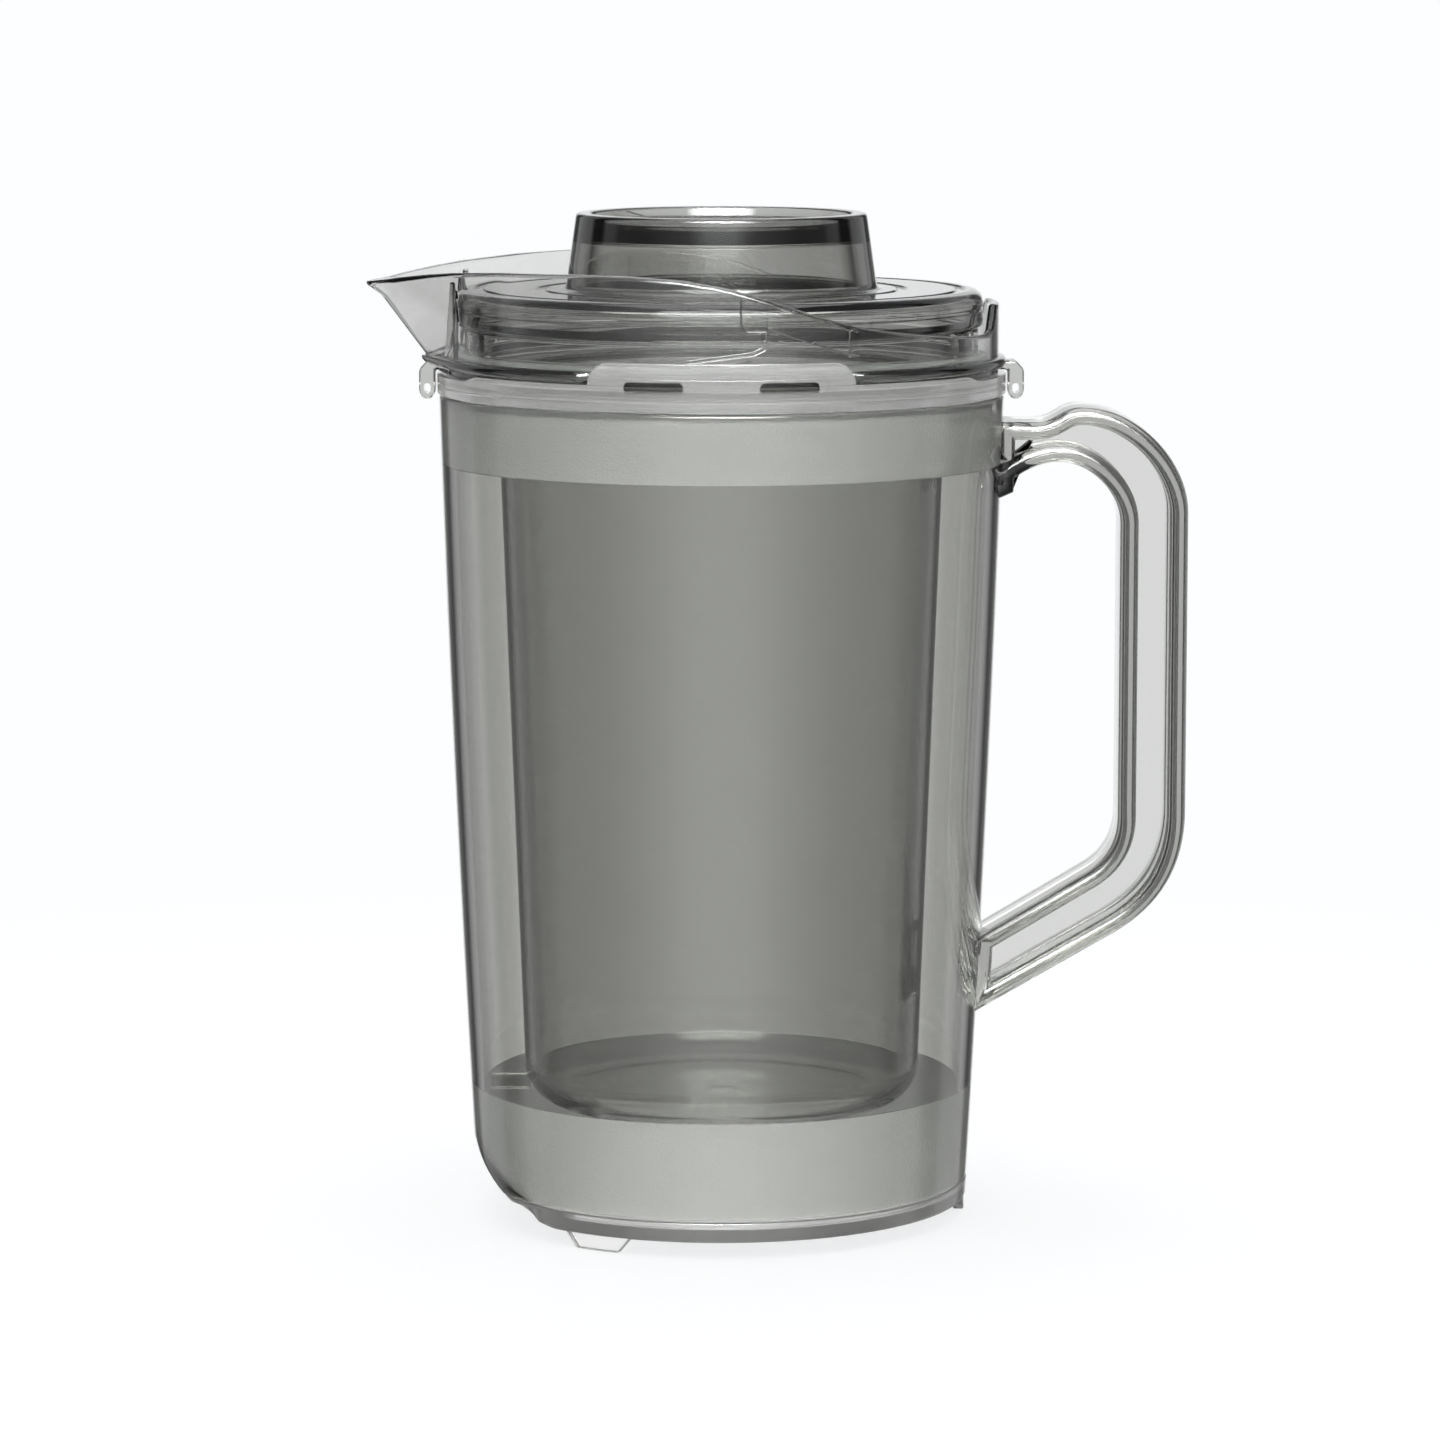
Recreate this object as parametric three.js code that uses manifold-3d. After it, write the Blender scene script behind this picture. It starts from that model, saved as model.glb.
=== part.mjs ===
// Insulated jug: a double-walled clear jug with a pouring collar and a lid that turns and lifts off.
// Millimetres, +Z up. The origin is on the jug's axis, on the flat underside of the base cover.
// The spout points to -X and the handle to +X.
import * as THREE from 'three';
import { mergeVertices } from 'three/addons/utils/BufferGeometryUtils.js';
import Module from 'manifold-3d';

// Clearances
const fit = 0.3; // between pieces that seat on or in each other
const runningGap = 1.2; // between the lid's edge and the collar's wall

// Outer body
const bodyHeight = 191.2; // underside of the base to the top edge of the outer wall
const bodyTopRadius = 66.4;
const bodyBottomRadius = 58.3;
const bodyBulge = 0.7; // fullness of the wall half way up
const bodyWall = 2.6;
const cornerLength = 19.5; // rounded corner of the base at the spout side, along the floor
const cornerHeight = 13.9;
const cornerFullness = 0.74; // share of the corner that its curve is pulled out to

// Handle
const handleWidth = 20;
const handleStandOff = 43.1; // top of the outer wall to the outer face of the grip
const gripDepth = 15.9;
const flangeDepth = 4.2; // each flange of the I-section
const webThickness = 3;
const handleTopDrop = 2.6; // rim of the outer wall to the top of the handle
const handleDip = 3.5; // top of the handle to the saddle beside the wall
const saddleLength = 6.8;
const handleTopArm = 12.9; // height of the upper arm
const handleTopBend = 25; // radius of the upper outer bend
const archRadius = 14.4; // bend over the fingers
const archDrop = 6.4; // top of that bend to where it meets the wall
const handleFootHeight = 45.3; // underside to the bottom of the lower arm at the wall
const handleFootArm = 18.4; // height of the lower arm at the wall
const handleFootSlope = 30; // climb of the lower arm
const handleFootBend = 19.5; // length of the lower outer bend along each side
const handleInnerBend = 9; // length of the lower inner bend along each side
const pocketEnd = 1.5; // wall to the end of the pockets beside the web

// Base cover
const baseRimHeight = 4.8;
const basePlate = 2.4;
const spigotHeight = 4;
const spigotWall = 2;
const footHeight = 3.5;
const footDepth = 2.5;
const footCount = 3;
const footTopAngle = 18;
const footBottomAngle = 11;

// Inner vessel
const vesselFloorHeight = 23.2; // underside of the base to the underside of the vessel
const vesselMouthRadius = 52.8;
const vesselFootRadius = 46.6;
const vesselCorner = 9;
const vesselWall = 2.2;
const vesselFlange = 2.2;
const lugHeight = 3.5;
const lugWidth = 4;
const lugRise = 1.9; // underside of the vessel to the underside of its lug
const lugGap = 0.9; // between the lug and the outer wall

// Rim ring
const ringHeight = 4.7;
const ringProud = 0.4; // past the outer wall
const ringSkirt = 1.3;
const ringMouthGap = 1.2; // between the ring's plate and the vessel's mouth
const tabHalfWidth = 30.3;
const tabRise = 6.6; // top of the ring to the top of a tab
const tabThickness = 1.9;
const tabProud = 0.6; // past the ring
const tabCorner = 5;
const slotInner = 8.6; // middle of the tab to the near end of a slot
const slotLength = 13.4;
const slotHeight = 2.9;
const slotDrop = 6.9; // top of the tab to the bottom of a slot
const slotRoundness = 0.33; // radius of a slot's corners as a share of its height

// Pouring collar
const collarWall = 2.1;
const collarFloor = 2;
const collarRise = 25.7; // underside of the collar to the top of its wall at the spout side
const collarStep = 4.6; // first fall of the wall's top edge
const collarStepAt = 10; // middle of the jug to the end of that fall
const collarBackRise = 9.8; // underside of the collar to the top of its wall at the handle
const collarCrest = 30; // middle of the jug to the crest of the wall on the spout side
const collarFallPull = 22; // middle of the jug to the first pull on the falling edge
const collarFallEase = 38; // middle of the jug to where the falling edge levels out
const beadHeight = 3;
const beadProud = 2;
const beadLift = 0.7; // underside of the collar to the underside of the bead
const thumbTabRise = 16.4;
const thumbTabHalfWidth = 13;
const thumbTabFlare = 9;
const spigotGap = 2; // between the collar's spigot and the vessel's mouth
const collarSpigotWall = 2.2;
const collarSpigotDepth = 10;
const spoutReach = 16.6; // outside of the wall to the tip
const spoutFoot = 1.3; // outside of the wall to the foot of the spout's keel
const spoutTipRadius = 5;
const spoutTipDrop = 5; // top of the wall to the tip
const rampHeight = 7; // strip on the inside of the wall below its falling edge
const rampProud = 0.8;
const rampStart = 5;
const rampEnd = 32;
const clipWidth = 7;
const clipDepth = 3.2;
const clipRoundness = 0.4; // radius of a clip's corners as a share of its depth
const clipDrop = 6.4; // underside of the collar to the bottom of a clip
const clipNeck = 2;
const nubGap = 0.6; // bottom of the clip to the nub on the handle's root
const clipEyeHeight = 3.6;
const clipEyeWidth = 1.2;
const eyeRoundness = 0.33; // radius of an eye's corners as a share of its width

// Lid
const lidEdgeHeight = 8.7;
const lidEdgeRound = 3;
const lidPlate = 2.4;
const skirtHeight = 8.1;
const skirtInset = 1.1; // edge of the lid to the outside of the skirt
const skirtWall = 3;
const windowCount = 5;
const windowAngle = 6.5;
const slatAngle = 4;
const windowHeight = 4;
const windowTopGap = 0.5; // underside of the plug's plate to the top of a window
const plugPlate = 2.3;
const knobBaseRadius = 36.6;
const knobTopRadius = 34.1;
const knobHeight = 17.7;
const knobWall = 2;
const dishDepth = 3.5;
const dishPlate = 3.4;

// Seals
const sealHeight = 1.7;
const sealGroove = 1.2; // depth of the groove that holds a seal
const sealLip = 0.6; // lip below a seal
const sealLipInset = 0.4; // outside of the skirt to the outside of that lip
const collarSealHeight = 3;
const collarSealGap = 0.8; // between the seal and the vessel's mouth

// Facets
const turns = 48; // sides of a turned piece
const cornerSteps = 4;
const spoutSteps = 36; // from the tip round one side to the handle
const spoutCrowding = 1.5; // above 1 the steps crowd towards the tip
const handleSteps = 6;
const wallSteps = 4; // rings of the bulged wall

const degree = Math.PI / 180;
const mergeDistance = 1e-4;
const over = 1; // how far a cut runs past the face that it opens
const through = 4 * bodyTopRadius; // length of a cut that runs through the whole jug

const wasm = await Module();
wasm.setup();

// The triangles of a geometry as a solid.
function fromTriangles(positions, triangles) {
  const vertProperties = new Float32Array(positions);
  const triVerts = new Uint32Array(triangles);
  return new wasm.Manifold(new wasm.Mesh({ numProp: 3, vertProperties, triVerts }));
}

// A solid as a geometry.
function asGeometry(piece) {
  const mesh = piece.getMesh();
  const geometry = new THREE.BufferGeometry();
  geometry.setAttribute('position', new THREE.BufferAttribute(new Float32Array(mesh.vertProperties), 3));
  geometry.setIndex(new THREE.BufferAttribute(new Uint32Array(mesh.triVerts), 1));
  return geometry;
}

// A closed geometry as a solid, with its faces pointing out.
function solid(geometry) {
  const bare = new THREE.BufferGeometry();
  bare.setAttribute('position', geometry.getAttribute('position'));
  bare.setIndex(geometry.getIndex());
  const merged = mergeVertices(bare, mergeDistance);
  const points = merged.getAttribute('position');
  const index = merged.getIndex();
  const triangles = [];
  const a = new THREE.Vector3();
  const b = new THREE.Vector3();
  const c = new THREE.Vector3();
  let volume = 0;
  for (let i = 0; i < index.count; i += 3) {
    const triangle = [index.getX(i), index.getX(i + 1), index.getX(i + 2)];
    if (new Set(triangle).size === 3) {
      a.fromBufferAttribute(points, triangle[0]);
      b.fromBufferAttribute(points, triangle[1]);
      c.fromBufferAttribute(points, triangle[2]);
      volume += a.dot(b.cross(c));
      triangles.push(triangle);
    }
  }
  if (volume < 0) {
    triangles.forEach((triangle) => triangle.reverse());
  }
  return fromTriangles(points.array, triangles.flat());
}

// A profile of [radius, height] points turned about the jug's axis.
function turned(profile) {
  const outline = profile.map(([radius, height]) => new THREE.Vector2(radius, height));
  if (profile[0][0] > 0) {
    outline.push(outline[0].clone());
  }
  return solid(new THREE.LatheGeometry(outline, turns).rotateX(Math.PI / 2));
}

// A turned ring of rectangular section.
function ring(inner, outer, bottom, top) {
  return turned([[inner, bottom], [outer, bottom], [outer, top], [inner, top]]);
}

// A turned disc.
function disc(radius, bottom, top) {
  return turned([[0, bottom], [radius, bottom], [radius, top], [0, top]]);
}

// A shape drawn in X and Z, as thick as given along Y about a middle.
function slab(shape, thickness, middle = 0) {
  const settings = { depth: thickness, bevelEnabled: false, curveSegments: cornerSteps };
  const geometry = new THREE.ExtrudeGeometry(shape, settings);
  return solid(geometry.rotateX(Math.PI / 2).translate(0, middle + thickness / 2, 0));
}

// A solid between two outlines of as many points that both go round the jug's axis.
function loft(lower, upper, bottom, top) {
  const count = lower.length;
  const positions = [0, 0, bottom, 0, 0, top];
  lower.forEach(([x, y]) => positions.push(x, y, bottom));
  upper.forEach(([x, y]) => positions.push(x, y, top));
  const triangles = [];
  for (let i = 0; i < count; i += 1) {
    const low = 2 + i;
    const lowNext = 2 + ((i + 1) % count);
    const high = low + count;
    const highNext = lowNext + count;
    triangles.push(0, lowNext, low, 1, high, highNext);
    triangles.push(low, lowNext, highNext, low, highNext, high);
  }
  const geometry = new THREE.BufferGeometry();
  geometry.setAttribute('position', new THREE.Float32BufferAttribute(positions, 3));
  geometry.setIndex(triangles);
  return solid(geometry);
}

function box(x0, x1, y0, y1, z0, z1) {
  const geometry = new THREE.BoxGeometry(x1 - x0, y1 - y0, z1 - z0);
  return solid(geometry.translate((x0 + x1) / 2, (y0 + y1) / 2, (z0 + z1) / 2));
}

function polygon(points) {
  return new THREE.Shape(points.map(([x, y]) => new THREE.Vector2(x, y)));
}

// A solid turned about the jug's axis.
function aboutAxis(piece, angle) {
  const geometry = asGeometry(piece).rotateZ(angle * degree);
  return fromTriangles(geometry.getAttribute('position').array, geometry.getIndex().array);
}

// Points of a bend about a centre, from one compass angle to the next.
function bend(centreX, centreY, radius, from, to, steps = cornerSteps) {
  const points = [];
  for (let i = 0; i <= steps; i += 1) {
    const angle = (from + ((to - from) * i) / steps) * degree;
    points.push([centreX + radius * Math.cos(angle), centreY + radius * Math.sin(angle)]);
  }
  return points;
}

const jug = new THREE.Group();

function addPiece(name, piece, colour, roughness) {
  const material = new THREE.MeshStandardMaterial({ color: colour, roughness, metalness: 0 });
  const part = new THREE.Mesh(asGeometry(piece), material);
  part.name = name;
  jug.add(part);
}

// Outer wall: a slightly bulged taper whose corner below the spout is rounded
function bodyRadius(height) {
  const share = height / bodyHeight;
  const straight = bodyBottomRadius + (bodyTopRadius - bodyBottomRadius) * share;
  return straight + 4 * bodyBulge * share * (1 - share);
}

// The tapered solid from one height to another, drawn in by a wall thickness.
function taper(bottom, top, inset) {
  const side = [];
  for (let i = 0; i <= wallSteps; i += 1) {
    const height = bottom + ((top - bottom) * i) / wallSteps;
    side.push([bodyRadius(height) - inset, height]);
  }
  return turned([[0, bottom], ...side, [0, top]]);
}

// Everything behind the rounded corner, drawn in by a wall thickness.
function behindCorner(inset) {
  const nose = bodyRadius(cornerHeight) - inset;
  const pullX = -nose + cornerLength * (1 - cornerFullness);
  const pullZ = inset + cornerHeight * (1 - cornerFullness);
  const reach = bodyTopRadius + handleStandOff;
  const shape = new THREE.Shape();
  shape.moveTo(reach, inset);
  shape.lineTo(-nose + cornerLength, inset);
  shape.quadraticCurveTo(pullX, pullZ, -nose, inset + cornerHeight);
  shape.lineTo(-reach, inset + cornerHeight);
  shape.lineTo(-reach, bodyHeight + reach);
  shape.lineTo(reach, bodyHeight + reach);
  return slab(shape, 2 * reach);
}

// Heights and radii of the pieces stacked on the rim
const flangeBottom = bodyHeight + fit;
const flangeTop = flangeBottom + vesselFlange;
const ringBottom = bodyHeight + fit;
const ringTop = ringBottom + ringHeight;
const ringRadius = bodyTopRadius + ringProud;
const flangeRadius = ringRadius - ringSkirt - fit;
const collarBottom = ringTop + fit;

// Handle outline in X and Z: round the grip from the upper root to the lower one and back by the fingers
const gripOuter = bodyTopRadius + handleStandOff;
const gripInner = gripOuter - gripDepth;
const handleTop = bodyHeight - handleTopDrop;
const handleRoot = bodyBottomRadius - bodyWall; // inside the wall, cut away with the cavity

const footSlope = handleFootSlope * degree;
const footWall = bodyRadius(handleFootHeight);

// Height of an edge of the lower arm that meets the wall at the given height.
function footEdge(x, atWall) {
  return atWall + (x - footWall) * Math.tan(footSlope);
}

// Points at the two ends of a bend between the grip and the lower arm.
function footBend(edge, corner, length) {
  return {
    upper: [edge, corner + length],
    lower: [edge - length * Math.cos(footSlope), corner - length * Math.sin(footSlope)],
  };
}

function handleOuterEdge(inset) {
  const edge = gripOuter - inset;
  const top = handleTop - inset;
  const saddle = top - handleDip;
  const saddleX = bodyTopRadius + saddleLength;
  const bulgeX = gripOuter - handleTopBend;
  const bulgeMiddle = (saddleX + bulgeX) / 2;
  const bendEnd = handleTop - handleTopBend;
  const foot = handleFootHeight + inset / Math.cos(footSlope);
  const corner = footEdge(edge, foot);
  const { upper, lower } = footBend(edge, corner, handleFootBend);
  const path = new THREE.Path();
  path.moveTo(handleRoot, saddle);
  path.lineTo(saddleX, saddle);
  path.bezierCurveTo(bulgeMiddle, saddle, bulgeMiddle, top, bulgeX, top);
  path.bezierCurveTo((bulgeX + edge) / 2, top, edge, (bendEnd + top) / 2, edge, bendEnd);
  path.lineTo(...upper);
  path.quadraticCurveTo(edge, corner, ...lower);
  path.lineTo(handleRoot, footEdge(handleRoot, foot));
  return path.getPoints(handleSteps);
}

function handleInnerEdge(inset) {
  const edge = gripInner + inset;
  const top = handleTop - handleTopArm + inset;
  const archMiddle = gripInner - archRadius;
  const archEnd = handleTop - handleTopArm - archRadius;
  const wallTop = bodyRadius(archEnd);
  const foot = handleFootHeight + handleFootArm - inset / Math.cos(footSlope);
  const corner = footEdge(edge, foot);
  const { upper, lower } = footBend(edge, corner, handleInnerBend);
  const path = new THREE.Path();
  path.moveTo(handleRoot, footEdge(handleRoot, foot));
  path.lineTo(...lower);
  path.quadraticCurveTo(edge, corner, ...upper);
  path.lineTo(edge, archEnd);
  path.bezierCurveTo(edge, (archEnd + top) / 2, (edge + archMiddle) / 2, top, archMiddle, top);
  path.quadraticCurveTo((archMiddle + wallTop) / 2, top, wallTop, top - archDrop);
  path.lineTo(handleRoot, top - archDrop);
  return path.getPoints(handleSteps);
}

function handleShape(inset) {
  const edge = handleOuterEdge(inset).concat(handleInnerEdge(inset));
  return new THREE.Shape(edge);
}

function makeHandle() {
  const pocketDepth = (handleWidth - webThickness) / 2;
  const pocketMiddle = (webThickness + pocketDepth + over) / 2;
  const pocketShape = handleShape(flangeDepth);
  const rightPocket = slab(pocketShape, pocketDepth + over, pocketMiddle);
  const leftPocket = slab(pocketShape, pocketDepth + over, -pocketMiddle);
  const clearOfWall = taper(-over, bodyHeight + over, -pocketEnd);
  const pockets = rightPocket.add(leftPocket).subtract(clearOfWall);
  const nubEnd = ringRadius + fit + clipDepth;
  const nubTop = collarBottom - clipDrop - nubGap;
  const nubHalf = clipWidth / 2;
  const nub = box(handleRoot, nubEnd, -nubHalf, nubHalf, handleTop - handleDip - flangeDepth, nubTop);
  return slab(handleShape(0), handleWidth).subtract(pockets).add(nub);
}

const outerSolid = taper(baseRimHeight + fit, bodyHeight, 0).intersect(behindCorner(0));
const cavity = taper(0, bodyHeight + over, bodyWall).intersect(behindCorner(bodyWall));
addPiece('outer_body', outerSolid.add(makeHandle()).subtract(cavity), 0x8d908a, 0.15);

// Base cover: a dish that closes the outer wall, with a spigot inside the wall and feet below the rim
function makeFoot(angle) {
  const radius = bodyRadius(0);
  const topHalf = radius * Math.sin((footTopAngle / 2) * degree);
  const bottomHalf = radius * Math.sin((footBottomAngle / 2) * degree);
  const outline = polygon([
    [-bottomHalf, -footHeight],
    [bottomHalf, -footHeight],
    [topHalf, over],
    [-topHalf, over],
  ]);
  const arc = ring(radius - footDepth, radius, -footHeight, over);
  return aboutAxis(slab(outline, 2 * radius, -radius).intersect(arc), angle);
}

function makeBase() {
  const rim = taper(0, baseRimHeight, 0);
  const spigotTop = baseRimHeight + spigotHeight;
  const spigotInset = bodyWall + fit;
  const hollowInset = spigotInset + spigotWall;
  const spigot = taper(0, spigotTop, spigotInset).intersect(behindCorner(spigotInset));
  const hollow = taper(basePlate, spigotTop + over, hollowInset).intersect(behindCorner(hollowInset));
  let base = rim.intersect(behindCorner(0)).add(spigot).subtract(hollow);
  for (let i = 0; i < footCount; i += 1) {
    base = base.add(makeFoot(90 + (i * 360) / footCount));
  }
  return base;
}

addPiece('base_cover', makeBase(), 0x9a9d97, 0.12);

// Inner vessel: a cup that hangs by its flange on the rim of the outer wall, with a lug beside its foot
function vesselProfile(inset) {
  const floor = vesselFloorHeight + inset;
  const foot = vesselFootRadius - inset;
  const corner = vesselCorner - inset;
  return [[0, floor], ...bend(foot - corner, floor + corner, corner, -90, 0)];
}

function makeVessel() {
  const outside = turned([
    ...vesselProfile(0),
    [vesselMouthRadius, flangeBottom],
    [flangeRadius, flangeBottom],
    [flangeRadius, flangeTop],
    [0, flangeTop],
  ]);
  const inside = turned([
    ...vesselProfile(vesselWall),
    [vesselMouthRadius - vesselWall, flangeBottom],
    [vesselMouthRadius - vesselWall, flangeTop + over],
    [0, flangeTop + over],
  ]);
  const lugBottom = vesselFloorHeight + lugRise;
  const lugTop = lugBottom + lugHeight;
  const lugReach = bodyRadius(lugBottom) - bodyWall - lugGap;
  const lugBar = box(-lugReach, 0, -lugWidth / 2, lugWidth / 2, lugBottom, lugTop);
  return outside.add(lugBar).subtract(inside);
}

addPiece('inner_vessel', makeVessel(), 0x7f827c, 0.1);

// Rim ring: clamps the vessel's flange and carries the two slotted tabs
const tabRadius = ringRadius + tabProud;
const tabTop = ringTop + tabRise;

function roundedSlot(x0, x1, z0, z1, radius) {
  const corners = [
    ...bend(x1 - radius, z1 - radius, radius, 0, 90),
    ...bend(x0 + radius, z1 - radius, radius, 90, 180),
    ...bend(x0 + radius, z0 + radius, radius, 180, 270),
    ...bend(x1 - radius, z0 + radius, radius, 270, 360),
  ];
  return polygon(corners);
}

function makeRing() {
  const skirt = ring(ringRadius - ringSkirt, ringRadius, ringBottom, ringTop);
  const plate = ring(vesselMouthRadius + ringMouthGap, ringRadius, flangeTop + fit, ringTop);
  const tabOutline = roundedSlot(-tabHalfWidth, tabHalfWidth, ringBottom - tabCorner, tabTop, tabCorner);
  const tabBand = ring(tabRadius - tabThickness, tabRadius, ringBottom, tabTop);
  const tabs = tabBand.intersect(slab(tabOutline, through));
  const slotBottom = tabTop - slotDrop;
  const slotTop = slotBottom + slotHeight;
  const slotEnd = slotInner + slotLength;
  const slotRound = slotHeight * slotRoundness;
  const right = slab(roundedSlot(slotInner, slotEnd, slotBottom, slotTop, slotRound), through);
  const left = slab(roundedSlot(-slotEnd, -slotInner, slotBottom, slotTop, slotRound), through);
  const clearOfPlate = disc(ringRadius - ringSkirt, slotBottom - over, slotTop + over);
  const slots = right.add(left).subtract(clearOfPlate);
  return skirt.add(plate).add(tabs).subtract(slots);
}

addPiece('rim_ring', makeRing(), 0xb4b7b2, 0.2);

// Pouring collar
const collarFloorTop = collarBottom + collarFloor;
const collarRadius = tabRadius - tabThickness - fit;
const collarBore = collarRadius - collarWall;
const collarTop = collarBottom + collarRise;
const mouthRadius = vesselMouthRadius - vesselWall;
const collarSpigotRadius = mouthRadius - spigotGap;
const spoutTip = collarRadius + spoutReach;

// Distance from the axis to a circle that is drawn out to a round tip, at an angle from the tip.
function spoutDistance(radius, tipRadius, reach, angle) {
  const tipCentre = radius + reach - tipRadius;
  const tangent = Math.acos((radius - tipRadius) / tipCentre);
  const tipAcross = tipRadius * Math.sin(tangent);
  const tipAngle = Math.atan2(tipAcross, tipCentre + tipRadius * Math.cos(tangent));
  if (angle >= tangent) {
    return radius;
  }
  if (angle >= tipAngle) {
    return radius / Math.cos(tangent - angle);
  }
  return tipCentre * Math.cos(angle) + Math.sqrt(tipRadius ** 2 - (tipCentre * Math.sin(angle)) ** 2);
}

// Outline of the collar at the reach of its spout, all round from the tip at -X.
function spoutOutline(radius, tipRadius, reach) {
  const points = [];
  for (let i = 1 - spoutSteps; i <= spoutSteps; i += 1) {
    const angle = Math.PI * (Math.abs(i) / spoutSteps) ** spoutCrowding;
    const distance = spoutDistance(radius, tipRadius, reach, angle);
    points.push([-distance * Math.cos(angle), -Math.sign(i) * distance * Math.sin(angle)]);
  }
  return points;
}

// Reach of the spout at a height: its keel climbs straight out to the tip.
function spoutReachAt(height) {
  const tipHeight = collarRise - spoutTipDrop;
  return spoutFoot + ((spoutReach - spoutFoot) * (height - collarBottom)) / tipHeight;
}

// The collar from one height to another, to its outside or its inside.
function collarForm(inset, bottom, top) {
  const radius = collarRadius - inset;
  const tipRadius = spoutTipRadius - inset;
  const lower = spoutOutline(radius, tipRadius, spoutReachAt(bottom));
  const upper = spoutOutline(radius, tipRadius, spoutReachAt(top));
  return loft(lower, upper, bottom, top);
}

// Top edge of the wall, from the tip of the spout to the handle side.
function collarTopEdge() {
  const low = collarBottom + collarBackRise;
  const shoulder = collarTop - collarStep;
  const path = new THREE.Path();
  path.moveTo(-spoutTip - over, collarTop - spoutTipDrop);
  path.quadraticCurveTo(-collarRadius, collarTop, -collarCrest, collarTop);
  path.quadraticCurveTo(0, collarTop, collarStepAt, shoulder);
  path.bezierCurveTo(collarFallPull, shoulder - collarStep, collarFallEase, low, collarRadius + over, low);
  return path.getPoints(cornerSteps);
}

// Everything below the top edge.
function underTopEdge() {
  const shape = new THREE.Shape();
  shape.moveTo(collarRadius + over, collarBottom - over);
  shape.lineTo(-spoutTip - over, collarBottom - over);
  collarTopEdge().forEach((point) => shape.lineTo(point.x, point.y));
  return slab(shape, through);
}

function makeClip(angle) {
  const inner = ringRadius + fit;
  const outer = inner + clipDepth;
  const bottom = collarBottom - clipDrop;
  const top = collarBottom + clipNeck + beadLift;
  const outline = roundedSlot(inner, outer, bottom, top, clipDepth * clipRoundness);
  const eyeMiddle = (inner + outer) / 2;
  const eyeLeft = eyeMiddle - clipEyeWidth / 2;
  const eyeRight = eyeMiddle + clipEyeWidth / 2;
  const eyeBottom = bottom + (clipDepth - clipEyeWidth) / 2;
  const eyeTop = eyeBottom + clipEyeHeight;
  const eye = roundedSlot(eyeLeft, eyeRight, eyeBottom, eyeTop, clipEyeWidth * eyeRoundness);
  const neckStart = collarBore + collarWall / 2;
  const neck = box(neckStart, eyeMiddle, -clipWidth / 2, clipWidth / 2, collarBottom, top);
  const clip = slab(outline, clipWidth).subtract(slab(eye, through)).add(neck);
  return aboutAxis(clip, angle);
}

function makeThumbTab() {
  const top = collarBottom + thumbTabRise;
  const wallTop = collarBottom + collarBackRise;
  const foot = collarBottom + collarBackRise / 2;
  const half = thumbTabHalfWidth;
  const wide = thumbTabHalfWidth + thumbTabFlare;
  const shape = new THREE.Shape();
  shape.moveTo(-wide, foot);
  shape.lineTo(-wide, wallTop);
  shape.quadraticCurveTo(-half, wallTop, -half, top);
  shape.lineTo(half, top);
  shape.quadraticCurveTo(half, wallTop, wide, wallTop);
  shape.lineTo(wide, foot);
  const ahead = aboutAxis(slab(shape, 2 * collarRadius, -collarRadius), 90);
  return ahead.intersect(ring(collarBore, collarRadius, foot, top));
}

function makeRamps() {
  const edge = collarTopEdge().filter((point) => point.x >= rampStart && point.x <= rampEnd);
  const upper = edge.map((point) => [point.x, point.y]);
  const lower = edge.map((point) => [point.x, point.y - rampHeight]).reverse();
  const strip = slab(polygon(upper.concat(lower)), through);
  return strip.intersect(ring(collarBore - rampProud, collarRadius, collarFloorTop, collarTop));
}

function makeCollar() {
  const outside = collarForm(0, collarBottom, collarTop);
  const inside = collarForm(collarWall, collarFloorTop, collarTop + over);
  const spigotBottom = collarBottom - collarSpigotDepth;
  const beadBottom = collarBottom + beadLift;
  const beadMiddle = beadBottom + beadHeight / 2;
  const beadRadius = collarRadius + beadProud;
  const bead = turned([
    [collarBore + collarWall / 2, beadBottom],
    ...bend(beadRadius - beadHeight / 2, beadMiddle, beadHeight / 2, -90, 90),
    [collarBore + collarWall / 2, beadBottom + beadHeight],
  ]);
  const roomHalf = tabHalfWidth + runningGap;
  const tabRoom = box(-roomHalf, roomHalf, -through, through, collarBottom, collarTop);
  const tabGap = tabRoom.subtract(disc(collarRadius, collarBottom - over, collarTop + over));
  const spigotBore = collarSpigotRadius - collarSpigotWall;
  const spigot = ring(spigotBore, collarSpigotRadius, spigotBottom, collarFloorTop);
  const grooveBottom = spigotBottom + sealLip;
  const groove = ring(
    collarSpigotRadius - sealGroove,
    collarSpigotRadius + over,
    grooveBottom,
    grooveBottom + collarSealHeight + 2 * fit,
  );
  const mouth = disc(spigotBore, spigotBottom - over, collarFloorTop + over);
  let collar = outside.intersect(underTopEdge()).subtract(inside);
  collar = collar.add(bead.subtract(tabGap)).add(makeThumbTab()).add(makeRamps());
  collar = collar.add(makeClip(0)).add(makeClip(180));
  return collar.subtract(mouth).add(spigot.subtract(groove));
}

addPiece('pour_collar', makeCollar(), 0x838680, 0.08);

// Seal round the collar's spigot, in the mouth of the vessel
const collarSealBottom = collarBottom - collarSpigotDepth + sealLip + fit;
const collarSeal = ring(
  collarSpigotRadius - sealGroove + fit,
  mouthRadius - collarSealGap,
  collarSealBottom,
  collarSealBottom + collarSealHeight,
);
addPiece('collar_seal', collarSeal, 0xd9dbd7, 0.5);

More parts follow.
